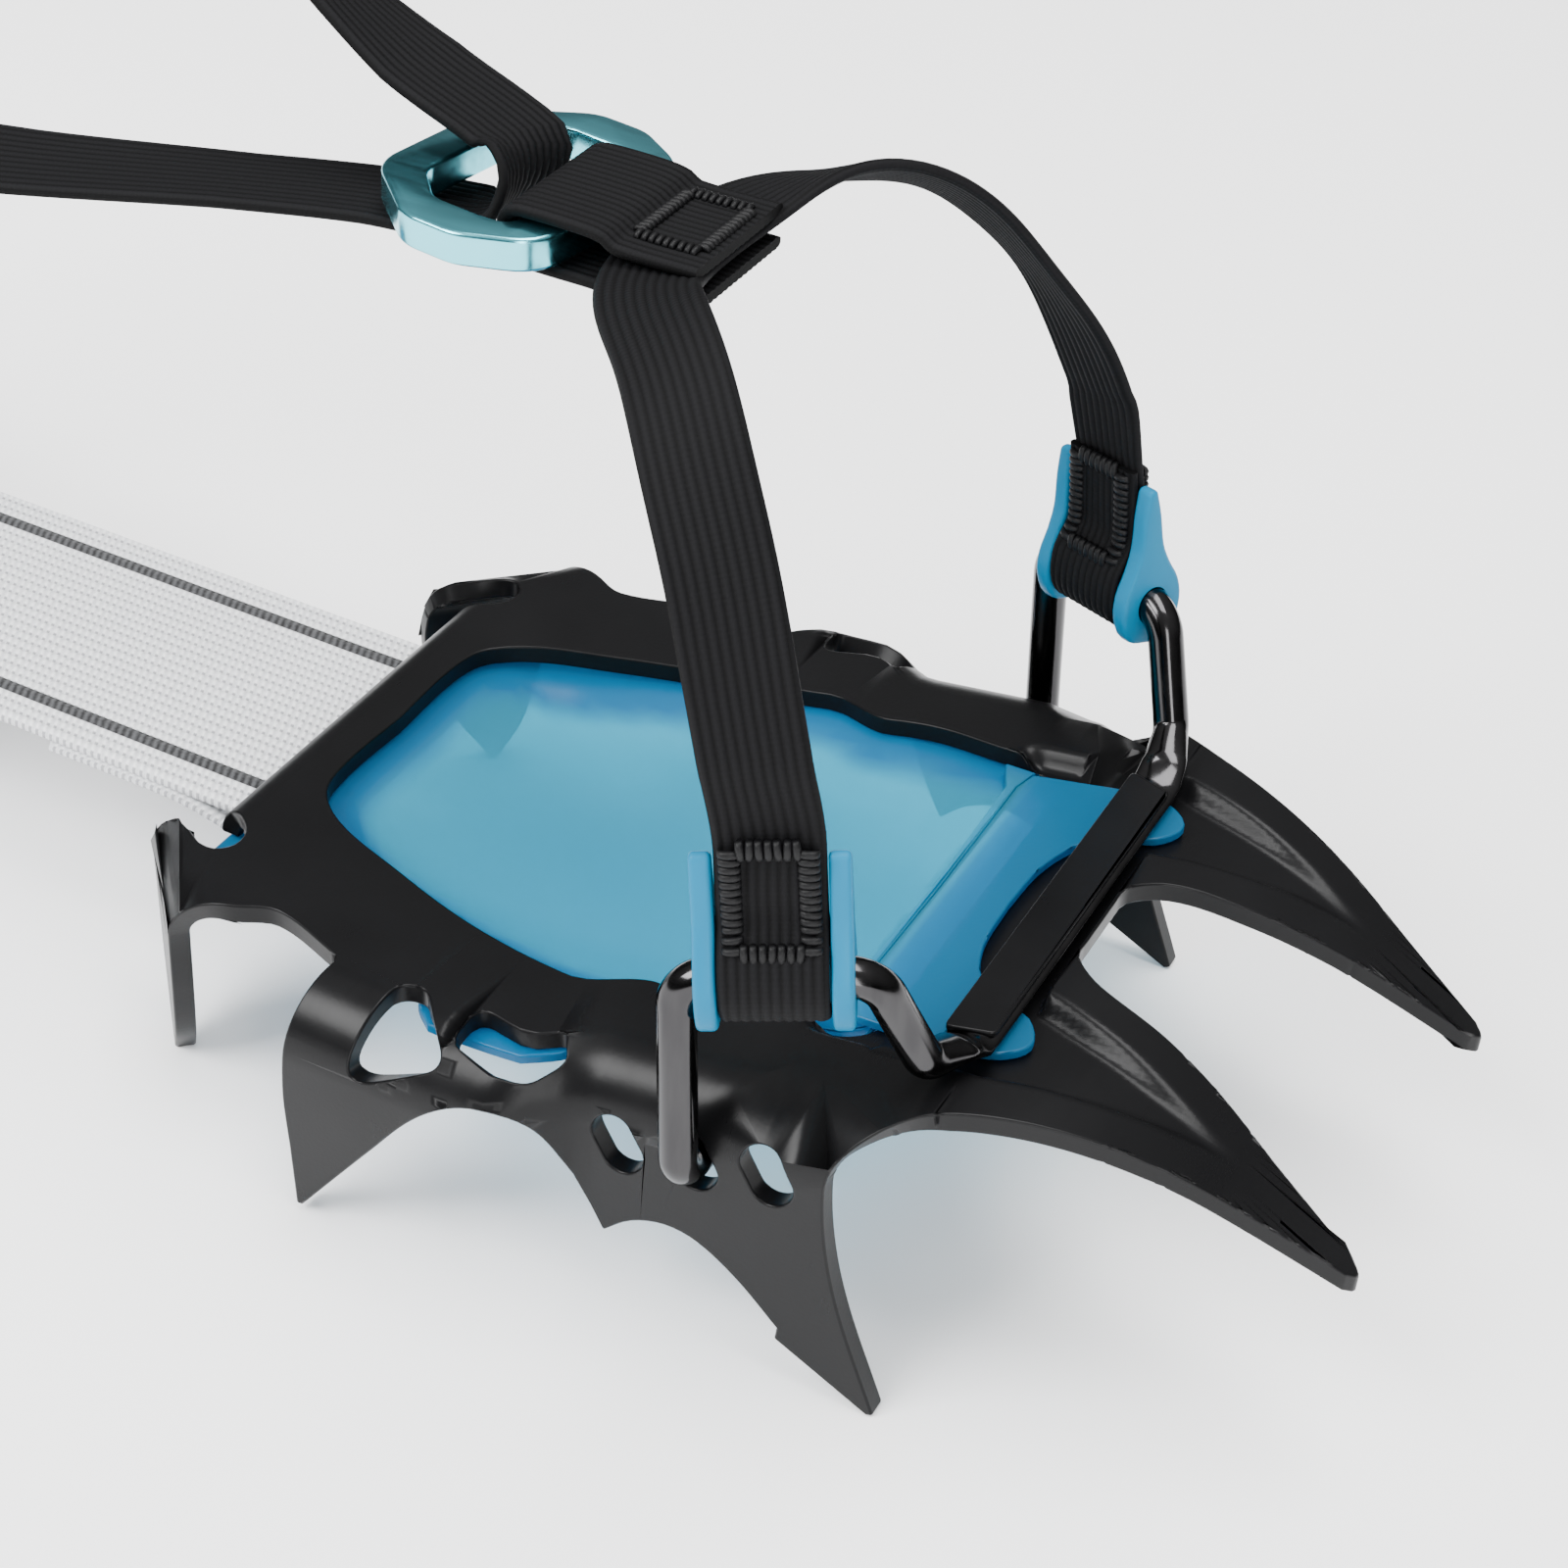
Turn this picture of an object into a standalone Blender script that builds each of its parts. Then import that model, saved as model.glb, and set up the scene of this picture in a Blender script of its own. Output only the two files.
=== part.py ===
"""A twelve-point strap-on crampon with a steel front section, a steel heel section and a webbing link.

Lengths in the code are millimetres and are turned into metres when a mesh is made.
-Y points to the toe, +Y to the heel, +Z up. z = 0 is the face that the boot stands on.
"""

import math

import bmesh
import bpy
import numpy as np
from mathutils import Matrix, Quaternion, Vector

# ---- driving dimensions, in millimetres ----
METRE = 0.001
SHEET = 3.0
WIRE_DIAMETER = 5.0
STRAP_WIDTH = 13.0          # of the strap over the toes
ANKLE_WIDTH = 15.0          # of the ankle strap
WEBBING_THICKNESS = 1.5
LINK_WIDTH = 48.0
LINK_THICKNESS = 1.6
GAP = 0.4

REAR_HALF_WIDTH = 49.5      # where the side bend starts under the ball of the foot
FRONT_HALF_WIDTH = 43.0     # where it starts at the toes
REAR_BEND = 10.0            # outer radius of the side bend under the ball of the foot
FRONT_BEND = 9.3            # and at the toes
CORNER_BEND = 8.0           # outer radius of the bend above each rear corner point
CORNER_NORMAL = Vector((0.68, 0.73)).normalized()
CORNER_BEND_AT = 28.0       # from the origin to where the corner bend starts
FLANGE_FROM = -20.5         # y in front of which the sides bend down
ROLL_START = 3.5            # y where the rear edge starts to roll down
ROLL_RADIUS = 5.0
TOE_SLOPE = 0.155           # rise of the sole towards the toe
TROUGH_DEPTH = 2.8

BAIL_PIVOT = Vector((0.0, -79.1, -5.7))
RING_PIVOT = Vector((0.0, -32.0, 88.6))
RING_YAW = -8.0             # degrees that the ring hangs to the far side
RING_HALF_WIDTH = 19.0
RING_LENGTH = 29.0
TAB_SLACK = 2.9             # room for the yawed bar in the fold of the tab
RING_BAR = 6.0
RING_THICKNESS = 4.5
ANCHOR = Vector((0.0, 3.5, -10.0))
ANCHOR_DIAMETER = 4.0
STRAP_Z = -6.9              # middle of the linking strap behind the front plate

HEEL_HALF_WIDTH = 26.0
HEEL_BEND = 8.0
HEEL_FRONT = 100.0
HEEL_BACK = 176.0
HEEL_BAIL_RUN = 14.0        # from the start of the side bend to the hole for the heel bail
HEEL_BAIL_PIVOT = Vector((0.0, 158.0, HEEL_BEND * (math.pi / 2 - 1) - HEEL_BAIL_RUN))
LEVER_PIVOT = Vector((0.0, 189.0, 40.0))
LOCK_PIVOT = Vector((0.0, 102.0, -13.6))
LOCK_PIN = 3.0              # diameter
PIN_GAP = 0.35              # between a pin or a wire and its hole
BUCKLE_PIN = 2.0            # diameter
BUCKLE_Y = 122.0            # where the buckle sits on the far strand of the ankle strap
BUCKLE_PIN_HEIGHT = 5.2     # of the buckle's pin over the strap's middle
RIVET_SPOT = Vector((19.0, 106.5))
RIVET_SHANK = 4.0
RIVET_HOLE = RIVET_SHANK / 2 + PIN_GAP
SINK_DEPTH = 1.55           # of the countersink for each rivet head, whose sides slope at 45 degrees

# ---- start from an empty scene ----
for old in list(bpy.data.objects):
    bpy.data.objects.remove(old, do_unlink=True)
PARTS = bpy.data.collections.new("crampon")
CUTTERS = bpy.data.collections.new("cutters")
CUTTERS.hide_render = True
for collection in (PARTS, CUTTERS):
    bpy.context.scene.collection.children.link(collection)


# ---- materials ----
def material(name, colour, roughness, metallic=0.0, alpha=1.0):
    made = bpy.data.materials.new(name)
    made.use_nodes = True
    shader = made.node_tree.nodes["Principled BSDF"]
    shader.inputs["Base Color"].default_value = (*colour, 1.0)
    shader.inputs["Roughness"].default_value = roughness
    shader.inputs["Metallic"].default_value = metallic
    shader.inputs["Alpha"].default_value = alpha
    return made


STEEL = material("black_steel", (0.012, 0.012, 0.013), 0.32, 0.6)
WIRE = material("dark_polished_steel", (0.10, 0.10, 0.105), 0.12, 1.0)
ANTIBALL = material("blue_elastomer", (0.10, 0.40, 0.62), 0.30, 0.0, 0.6)
GUARD = material("cyan_polymer", (0.03, 0.37, 0.66), 0.35)
ANODISED = material("teal_anodised", (0.05, 0.36, 0.44), 0.22, 0.9)
WEBBING = material("black_webbing", (0.012, 0.012, 0.014), 0.8)
LINK = material("white_webbing", (0.72, 0.72, 0.72), 0.8)
POLYMER = material("black_polymer", (0.015, 0.015, 0.016), 0.45)


# ---- outlines ----
def smooth(points, step=4.0):
    """A curve through the points, as a list of 2D points about one step apart."""
    knots = [Vector(p) for p in points]
    lengths = [(b - a).length for a, b in zip(knots, knots[1:])]
    slopes = []
    for i in range(len(knots)):
        low = max(i - 1, 0)
        high = min(i + 1, len(knots) - 1)
        slopes.append((knots[high] - knots[low]) / sum(lengths[low:high]))
    curve = [knots[0]]
    for i, length in enumerate(lengths):
        count = max(1, round(length / step))
        for k in range(1, count + 1):
            t = k / count
            here = knots[i] * (2 * t**3 - 3 * t**2 + 1) + knots[i + 1] * (3 * t**2 - 2 * t**3)
            turn = slopes[i] * (t**3 - 2 * t**2 + t) + slopes[i + 1] * (t**3 - t**2)
            curve.append(here + turn * length)
    return curve


def rounded(points, radius, steps=3):
    """A closed polygon with every corner turned into an arc."""
    corners = [Vector(p) for p in points]
    outline = []
    for i, corner in enumerate(corners):
        before = (corners[i - 1] - corner).normalized()
        after = (corners[(i + 1) % len(corners)] - corner).normalized()
        half = before.angle(after) / 2
        reach = min(
            radius / math.tan(half),
            0.49 * (corners[i - 1] - corner).length,
            0.49 * (corners[(i + 1) % len(corners)] - corner).length,
        )
        first = corner + before * reach
        last = corner + after * reach
        for k in range(steps + 1):
            t = k / steps
            outline.append(first * (1 - t) ** 2 + corner * 2 * t * (1 - t) + last * t**2)
    return outline


def joined(stretches):
    """One open outline from several curves that share their ends."""
    outline = list(stretches[0])
    for stretch in stretches[1:]:
        outline += stretch[1:]
    return outline


def mirrored(half):
    """Both halves of an outline whose two ends lie on the middle plane x = 0."""
    other = [Vector((-p.x, p.y)) for p in reversed(half)]
    return list(half) + [p for p in other if abs(p.x) > 1e-6]


def flipped(outline):
    return [Vector((-p.x, p.y)) for p in outline]


# ---- meshes ----
def flat_sheet(loops, thickness):
    """A filled 2D curve with holes, extruded downwards from z = 0, as a bmesh."""
    curve = bpy.data.curves.new("outline", "CURVE")
    curve.dimensions = "2D"
    curve.fill_mode = "BOTH"
    curve.extrude = thickness / 2
    for loop in loops:
        spline = curve.splines.new("POLY")
        spline.points.add(len(loop) - 1)
        for point, spot in zip(spline.points, loop):
            point.co = (spot.x, spot.y, 0.0, 1.0)
        spline.use_cyclic_u = True
    holder = bpy.data.objects.new("outline", curve)
    bpy.context.scene.collection.objects.link(holder)
    bpy.context.view_layer.update()
    flat = bpy.data.meshes.new_from_object(holder.evaluated_get(bpy.context.evaluated_depsgraph_get()))
    bpy.data.objects.remove(holder, do_unlink=True)
    sheet = bmesh.new()
    sheet.from_mesh(flat)
    bpy.data.meshes.remove(flat)
    bmesh.ops.remove_doubles(sheet, verts=sheet.verts, dist=0.0001)
    bmesh.ops.translate(sheet, verts=sheet.verts, vec=(0, 0, -thickness / 2))
    bmesh.ops.recalc_face_normals(sheet, faces=sheet.faces)
    return sheet


def split(mesh, spot, normal, where=None):
    """Cuts new edges across the faces whose middle passes the test."""
    faces = [f for f in mesh.faces if where is None or where(f.calc_center_median())]
    edges = {e for f in faces for e in f.edges}
    verts = {v for f in faces for v in f.verts}
    cut = bmesh.ops.bisect_plane(
        mesh,
        geom=[*faces, *edges, *verts],
        dist=0.00005,
        plane_co=spot,
        plane_no=normal,
    )
    for part in cut["geom_cut"]:
        if isinstance(part, bmesh.types.BMEdge):
            part.seam = True


def merge_flat(mesh):
    """Removes the edges inside flat faces, but not the ones that split() made."""
    inner = [e for e in mesh.edges if not e.seam and e.is_manifold and e.calc_face_angle(1.0) < 0.001]
    bmesh.ops.dissolve_edges(mesh, edges=inner, use_verts=False)
    loose = [v for v in mesh.verts if len(v.link_edges) == 2]
    bmesh.ops.dissolve_verts(mesh, verts=loose)


def warp(mesh, fold):
    for vertex in mesh.verts:
        vertex.co = fold(vertex.co)
    mesh.normal_update()


def loft(stations):
    """A capped skin over rings of points that all have the same count."""
    mesh = bmesh.new()
    rings = [[mesh.verts.new(p) for p in ring] for ring in stations]
    count = len(rings[0])
    for first, second in zip(rings, rings[1:]):
        for k in range(count):
            n = (k + 1) % count
            mesh.faces.new((first[k], first[n], second[n], second[k]))
    mesh.faces.new(list(reversed(rings[0])))
    mesh.faces.new(rings[-1])
    bmesh.ops.recalc_face_normals(mesh, faces=mesh.faces)
    return mesh


def place(name, mesh, look, pivot=(0, 0, 0), collection=None, sharp=35):
    """Makes the object from a bmesh in millimetres; its origin goes to the pivot."""
    pivot = Vector(pivot)
    bmesh.ops.translate(mesh, verts=mesh.verts, vec=-pivot)
    bmesh.ops.scale(mesh, verts=mesh.verts, vec=(METRE, METRE, METRE))
    data = bpy.data.meshes.new(name)
    mesh.to_mesh(data)
    mesh.free()
    data.shade_smooth()
    data.set_sharp_from_angle(angle=math.radians(sharp))
    if look:
        data.materials.append(look)
    made = bpy.data.objects.new(name, data)
    made.location = pivot * METRE
    (collection or PARTS).objects.link(made)
    if collection is CUTTERS:
        made.hide_render = True
        made.display_type = "WIRE"
    return made


def boolean(target, tool, operation):
    change = target.modifiers.new(tool.name, "BOOLEAN")
    change.operation = operation
    change.object = tool
    change.solver = "EXACT"
    return change


def slab(loops, low, high, lines_x=(), lines_y=()):
    """A sheet between two height functions of x and y, with extra edges where they curve."""
    sheet = flat_sheet(loops, 1.0)
    for x in lines_x:
        split(sheet, (x, 0, 0), (1, 0, 0))
    for y in lines_y:
        split(sheet, (0, y, 0), (0, 1, 0))

    def lift(p):
        depth = -p.z
        return Vector((p.x, p.y, high(p.x, p.y) * (1 - depth) + low(p.x, p.y) * depth))

    merge_flat(sheet)
    warp(sheet, lift)
    return sheet


def block(centre, size, turn=None, bevel=0.0):
    """A box, with rounded edges if a bevel is given."""
    mesh = bmesh.new()
    matrix = Matrix.Translation(centre) @ (turn or Matrix()) @ Matrix.Diagonal((*size, 1.0))
    bmesh.ops.create_cube(mesh, size=1.0, matrix=matrix)
    bmesh.ops.recalc_face_normals(mesh, faces=mesh.faces)
    if bevel:
        bmesh.ops.bevel(mesh, geom=mesh.edges[:], offset=bevel, segments=2, profile=0.5, affect="EDGES")
    return mesh


def rod(start, end, diameter, sides=12, end_diameter=None):
    """A straight round bar between two points, tapered if its end has its own diameter."""
    start = Vector(start)
    end = Vector(end)
    along = end - start
    mesh = bmesh.new()
    turn = along.to_track_quat("Z", "Y").to_matrix().to_4x4()
    bmesh.ops.create_cone(
        mesh,
        cap_ends=True,
        segments=sides,
        radius1=diameter / 2,
        radius2=(end_diameter or diameter) / 2,
        depth=along.length,
        matrix=Matrix.Translation((start + end) / 2) @ turn,
    )
    return mesh


def bent_path(corners, radii, steps=5):
    """A 3D polyline with each inner corner replaced by an arc of the given radius."""
    knots = [Vector(p) for p in corners]
    path = [knots[0]]
    for i in range(1, len(knots) - 1):
        before = (knots[i - 1] - knots[i]).normalized()
        after = (knots[i + 1] - knots[i]).normalized()
        half = before.angle(after) / 2
        reach = radii[i - 1] / math.tan(half)
        middle = knots[i] + (before + after).normalized() * (radii[i - 1] / math.sin(half))
        first = knots[i] + before * reach - middle
        last = knots[i] + after * reach - middle
        axis = first.cross(last)
        for k in range(steps + 1):
            path.append(middle + Quaternion(axis, first.angle(last) * k / steps) @ first)
    path.append(knots[-1])
    return path


def tangents(path):
    return [
        (path[min(i + 1, len(path) - 1)] - path[max(i - 1, 0)]).normalized() for i in range(len(path))
    ]


def tube(path, radii, side=Vector((0, 1, 0)), sides=10):
    """Rings around a path; radii is one (across, along side) pair for each place."""
    rings = []
    for spot, along, (wide, tall) in zip(path, tangents(path), radii):
        side = (side - along * side.dot(along)).normalized()
        up = along.cross(side)
        ring = []
        for k in range(sides):
            angle = 2 * math.pi * (k + 0.5) / sides
            ring.append(spot + side * wide * math.cos(angle) + up * tall * math.sin(angle))
        rings.append(ring)
    return rings


def ribbon(path, chords, width, thickness):
    """A flat band along a path; each chord shows which way its width runs."""
    rings = []
    for spot, along, chord in zip(path, tangents(path), chords):
        across = (Vector(chord) - along * along.dot(Vector(chord))).normalized() * width / 2
        face = along.cross(across).normalized() * thickness / 2
        rings.append([spot + across + face, spot - across + face, spot - across - face, spot + across - face])
    return loft(rings)


# ---- the front plate ----
def sole_height(y):
    """Top of the steel along the middle: level, then rising to the toe, then down to the points."""
    if y > -35:
        return 0.0
    if y > -55:
        return TOE_SLOPE * (-35 - y) ** 2 / 40
    if y > -104:
        return TOE_SLOPE * (-45 - y)
    past = min(-104 - y, 36)
    return TOE_SLOPE * (59 + past) - 0.0098 * past**2 - 0.55 * max(-140 - y, 0)


def blend(low, high, value):
    t = min(max((value - low) / (high - low), 0.0), 1.0)
    return t * t * (3 - 2 * t)


def bend_start(y):
    if y >= -52:
        return REAR_HALF_WIDTH
    return REAR_HALF_WIDTH + (FRONT_HALF_WIDTH - REAR_HALF_WIDTH) * blend(-52, -64, y)


def plan(x, y):
    """A place in plan, in the blank, whose width is scaled so that the side bend is straight."""
    return Vector((x * FRONT_HALF_WIDTH / bend_start(y), y))


def flange(y, run):
    """A place on the side flange, by its distance past the start of the bend."""
    return Vector((FRONT_HALF_WIDTH + run, y))


def corner(along, run):
    """A place on the rear corner flange: along its bend, and past the start of the bend."""
    way = Vector((CORNER_NORMAL.y, -CORNER_NORMAL.x))
    spot = CORNER_NORMAL * (CORNER_BEND_AT + run) + way * along
    return plan(spot.x, spot.y)


ROLL_END = ROLL_START + ROLL_RADIUS * math.pi / 2 + 0.3
PLATE_HALF = joined([
    [plan(0, ROLL_END), plan(30, ROLL_END), plan(30, 7)],
    smooth([plan(30, 7), plan(31, 4), plan(33.5, 1.5), plan(36.5, 1.2), plan(38.5, 3), plan(38.2, 6),
            plan(36.5, 9)], 2),
    smooth([plan(36.5, 9), corner(16, 6), corner(13, 13), corner(13, 21), corner(16, 30),
            corner(23.3, 41.6)]),
    [corner(23.3, 41.6), corner(24.3, 41.6)],
    smooth([corner(24.3, 41.6), corner(28.5, 35), corner(31.5, 24.6), corner(33.5, 14), corner(36, 6),
            plan(47.2, -6.5), plan(44.9, -12), plan(48.2, -23.4)]),
    [plan(48.2, -23.4), flange(-24, 0)],
    smooth([flange(-24, 0), flange(-22.7, 12), flange(-22.1, 22), flange(-22.7, 31), flange(-23.4, 41.8)], 5),
    [flange(-23.4, 41.8), flange(-24.4, 41.6)],
    smooth([flange(-24.4, 41.6), flange(-35.8, 25.8), flange(-42.1, 17.6), flange(-47.5, 13.3),
            flange(-53.2, 12.1), flange(-57.5, 14.8), flange(-61.6, 22.9), flange(-66.9, 33.2)]),
    smooth([flange(-66.9, 33.2), flange(-71, 30), flange(-75.8, 28.9), flange(-80.5, 30.2),
            flange(-86.5, 34.8), flange(-92.5, 41.2)]),
    [flange(-92.5, 41.2), flange(-92.3, 43.2)],
    [flange(-92.3, 43.2), flange(-106, 51.9), flange(-107, 51.6)],
    smooth([flange(-107, 51.6), flange(-101.6, 37.4), flange(-98.9, 27.8), flange(-97.5, 18),
            flange(-97.9, 11.6), flange(-101.5, 6), plan(44.4, -106.5), plan(40.6, -114.5),
            plan(34.2, -132.5), plan(30.5, -143.5), plan(26.8, -156.2)]),
    smooth([plan(26.8, -156.2), plan(25.3, -157.6), plan(23.6, -156.2)], 1.5),
    smooth([plan(23.6, -156.2), plan(20, -143), plan(17, -134), plan(14.6, -126), plan(11.8, -115.5),
            plan(8, -110.8), plan(4, -110.5), plan(0, -110.5)]),
])
OPENING_HALF = smooth([
    plan(0, -1.6), plan(13, -1.2), plan(20, -2.6), plan(25, -8.5), plan(29.2, -20), plan(32.8, -31.5),
    plan(35.2, -43), plan(35.6, -57), plan(34.3, -70), plan(32.6, -82), plan(31.2, -90), plan(27.5, -93),
    plan(14, -93), plan(0, -93),
], 5)


def tilted_slot(y, run, length=9.5, width=5.8, lean=28.0):
    """A round-ended slot in the side flange; its lower end leans towards the toe."""
    turn = math.radians(lean)
    way = Vector((math.cos(turn), -math.sin(turn)))
    across = Vector((-way.y, way.x)) * width / 2
    reach = way * (length - width) / 2
    middle = flange(y, run)
    slot = []
    for sign in (1, -1):
        for k in range(6):
            angle = math.pi * (k / 5 - 0.5)
            turned = way * width / 2 * math.cos(angle) + across * math.sin(angle)
            slot.append(middle + sign * (reach + turned))
    return slot


SLOTS = [tilted_slot(-68.6, 17.2), tilted_slot(BAIL_PIVOT.y, 16.3), tilted_slot(-89.5, 15.3)]
TRIANGLE = rounded([flange(-33.9, -0.9), flange(-37.6, -1.6), flange(-45.9, 8.1), flange(-32.1, 15.8)], 2.6)
TRAPEZOID = rounded(
    [flange(-45.4, -1.9), flange(-58, 0.9), flange(-60, 6.3), flange(-57, 8.5), flange(-45.2, 4.6)], 2.0)


def trough(x, y):
    """Depth of the pressed recess over the front cross-member and down each front point."""
    x = abs(x)
    outer = np.interp(y, (-139.5, -129, -122, -115, -109), (25.9, 29.3, 31.3, 33.2, 35))
    inner = np.interp(y, (-139.5, -128, -122, -116, -110, -107), (24.4, 21.6, 19.8, 18.3, 16.5, -4))
    side = blend(-0.4, 2.2, outer - x) * blend(-0.4, 2.2, x - inner)
    if y > -109.5:
        side = blend(-0.4, 2.2, outer - x) * max(blend(-109.5, -107.3, y), blend(-0.4, 2.2, x - inner))
    depth = TROUGH_DEPTH * (1 - 0.75 * blend(-112, -139, y))
    return depth * side * blend(-84, -88, y) * blend(-141, -138.5, y)


def fold_bend(run, radius, depth):
    """Sideways and downward travel along a bend, for a place some depth into the sheet."""
    angle = min(run / radius, math.pi / 2)
    past = max(run - radius * math.pi / 2, 0)
    return (radius - depth) * math.sin(angle), radius - (radius - depth) * math.cos(angle) + past


def fold_front(p):
    """Takes a place in the flat blank to the formed plate."""
    depth = -p.z
    side = math.copysign(1, p.x)
    wide = abs(p.x)
    y = p.y
    if y < FLANGE_FROM:
        run = wide - FRONT_HALF_WIDTH
        if run > 0:
            radius = REAR_BEND + (FRONT_BEND - REAR_BEND) * blend(-52, -64, y)
            out, down = fold_bend(run, radius, depth)
            return Vector((side * (bend_start(y) + out), y, sole_height(y) - down))
        x = wide * bend_start(y) / FRONT_HALF_WIDTH
        return Vector((side * x, y, sole_height(y) - depth - trough(x, y)))
    x = wide * REAR_HALF_WIDTH / FRONT_HALF_WIDTH
    spot = Vector((x, y))
    run = spot.dot(CORNER_NORMAL) - CORNER_BEND_AT
    if run > 0 and x > 30.5:
        out, down = fold_bend(run, CORNER_BEND, depth)
        spot += CORNER_NORMAL * (out - run)
        return Vector((side * spot.x, spot.y, -down))
    if y > ROLL_START:
        out, down = fold_bend(y - ROLL_START, ROLL_RADIUS, depth)
        return Vector((side * x, ROLL_START + out, -down))
    return Vector((side * x, y, -depth))


def make_front_plate():
    holes = [mirrored(OPENING_HALF)]
    for hole in [*SLOTS, TRIANGLE, TRAPEZOID]:
        holes += [hole, flipped(hole)]
    sheet = flat_sheet([mirrored(PLATE_HALF), *holes], SHEET)
    blank_normal = Vector((CORNER_NORMAL.x * REAR_HALF_WIDTH / FRONT_HALF_WIDTH, CORNER_NORMAL.y, 0))
    bend_length = FRONT_BEND * math.pi / 2
    for side in (-1, 1):
        for k in range(5):
            line = side * (FRONT_HALF_WIDTH + bend_length * k / 4)
            split(sheet, (line, 0, 0), (1, 0, 0), lambda c: c.y < -16 and abs(c.x) > 38)
        for k in range(5):
            reach = (CORNER_BEND_AT + CORNER_BEND * math.pi / 2 * k / 4) / blank_normal.length
            normal = Vector((side * blank_normal.x, blank_normal.y, 0)).normalized()
            split(sheet, normal * reach, normal, lambda c: c.y > -14 and abs(c.x) > 26)
        for x in (17, 20, 24.3, 29, 33, 35.3):
            split(sheet, (side * x, 0, 0), (1, 0, 0), lambda c: c.y < -88 and abs(c.x) < 40)
    for k in range(4):
        y = ROLL_START + ROLL_RADIUS * math.pi / 2 * k / 3
        split(sheet, (0, y, 0), (0, 1, 0), lambda c: c.y > -2 and abs(c.x) < 27)
    for y in (-35, -45, -52, -55, -58, -61, -64, -84, -88, -104, -107.3, -109.5, -112, -118, -124, -130, -136,
              -140):
        split(sheet, (0, y, 0), (0, 1, 0))
    merge_flat(sheet)
    warp(sheet, fold_front)
    bmesh.ops.triangulate(sheet, faces=sheet.faces)
    return place("front_plate", sheet, STEEL)


# ---- the front anti-snow plate ----
def make_front_antiball():
    def membrane_top(x, y):
        inside = blend(36, 20, abs(x)) * blend(0, -18, y) * blend(-88, -72, y)
        return sole_height(y) - SHEET - GAP - 4.0 * inside

    skin_half = joined([
        [Vector((0, 1)), Vector((32.5, 1))],
        smooth([Vector((32.5, 1)), Vector((34.5, -6)), Vector((37.5, -20)), Vector((43, -33.5)),
                Vector((47.5, -35.8)), Vector((50.2, -39))]),
        [Vector((50.2, -39)), Vector((50.2, -53))],
        smooth([Vector((50.2, -53)), Vector((47.6, -57.5)), Vector((43.2, -61.5)), Vector((41, -66)),
                Vector((40.5, -72)), Vector((40, -78)), Vector((36, -82)), Vector((31.4, -84)),
                Vector((30.2, -88)), Vector((27.6, -91.4)), Vector((22, -92.4))], 5),
        [Vector((22, -92.4)), Vector((0, -92.4))],
    ])
    lines_y = (-12, -24, -35, -45, -55, -72, -80)
    skin = slab(
        [mirrored(skin_half)],
        lambda x, y: membrane_top(x, y) - 1.6,
        membrane_top,
        (-28, -20, -10, 0, 10, 20, 28),
        lines_y,
    )
    made = place("front_antiball_plate", skin, ANTIBALL)

    bar_half = [Vector((0, -86.4)), Vector((25.5, -85.6)), Vector((30.9, -83.2)), Vector((30.1, -88)),
                Vector((27.2, -91.6)), Vector((21, -92.6)), Vector((0, -92.6))]
    bar = slab(
        [mirrored(bar_half)],
        lambda x, y: sole_height(y) - SHEET - 1.2,
        lambda x, y: sole_height(y) - 1.2,
        lines_y=(-88,),
    )
    boolean(made, place("antiball_bar", bar, None, collection=CUTTERS), "UNION")

    arm_half = joined([
        [Vector((0, -87.5)), Vector((25.5, -87.2)), Vector((29.2, -88.2))],
        smooth([Vector((29.2, -88.2)), Vector((29.8, -95)), Vector((30.3, -103)), Vector((29.0, -109.2)),
                Vector((25.5, -112.0)), Vector((21.2, -109.8)), Vector((19.4, -105)), Vector((15.5, -100.6)),
                Vector((9, -98.2)), Vector((0, -97.6))], 3.5),
    ])
    arms = slab(
        [mirrored(arm_half)],
        lambda x, y: sole_height(y) - 2.4,
        lambda x, y: sole_height(y) - 1.0,
        lines_y=(-104,),
    )
    boolean(made, place("antiball_arms", arms, None, collection=CUTTERS), "UNION")

    for side in (-1, 1):
        post = block((side * 30.5, 3.4, -10.6), (6, 9, 9.6), bevel=1.0)
        boolean(made, place(f"anchor_post_{side}", post, None, collection=CUTTERS), "UNION")
        neck = block((side * 30.5, 0.4, -5.6), (5.4, 3, 4.0))
        boolean(made, place(f"anchor_neck_{side}", neck, None, collection=CUTTERS), "UNION")
        inner = (side * 26, ANCHOR.y, ANCHOR.z)
        outer = (side * 35, ANCHOR.y, ANCHOR.z)
        bore = rod(inner, outer, ANCHOR_DIAMETER + 2 * GAP)
        boolean(made, place(f"anchor_bore_{side}", bore, None, collection=CUTTERS), "DIFFERENCE")
    return made


# ---- the linking strap and what holds it ----
def make_link():
    bar = rod((-32.5, ANCHOR.y, ANCHOR.z), (32.5, ANCHOR.y, ANCHOR.z), ANCHOR_DIAMETER)
    place("strap_anchor_bar", bar, WIRE)
    radius = ANCHOR_DIAMETER / 2 + GAP + LINK_THICKNESS / 2
    path = [Vector((0, 150, STRAP_Z)), Vector((0, 60, STRAP_Z)), Vector((0, 14, STRAP_Z))]
    for k in range(9):
        angle = math.radians(90 + 180 * k / 8)
        path.append(ANCHOR + Vector((0, radius * math.cos(angle), radius * math.sin(angle))))
    path += [Vector((0, 14, STRAP_Z - 3.4)), Vector((0, 22, STRAP_Z - LINK_THICKNESS - GAP)),
             Vector((0, 44, STRAP_Z - LINK_THICKNESS - GAP))]
    strap = ribbon(path, [(1, 0, 0)] * len(path), LINK_WIDTH, LINK_THICKNESS)
    place("linking_strap", strap, LINK)


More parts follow.
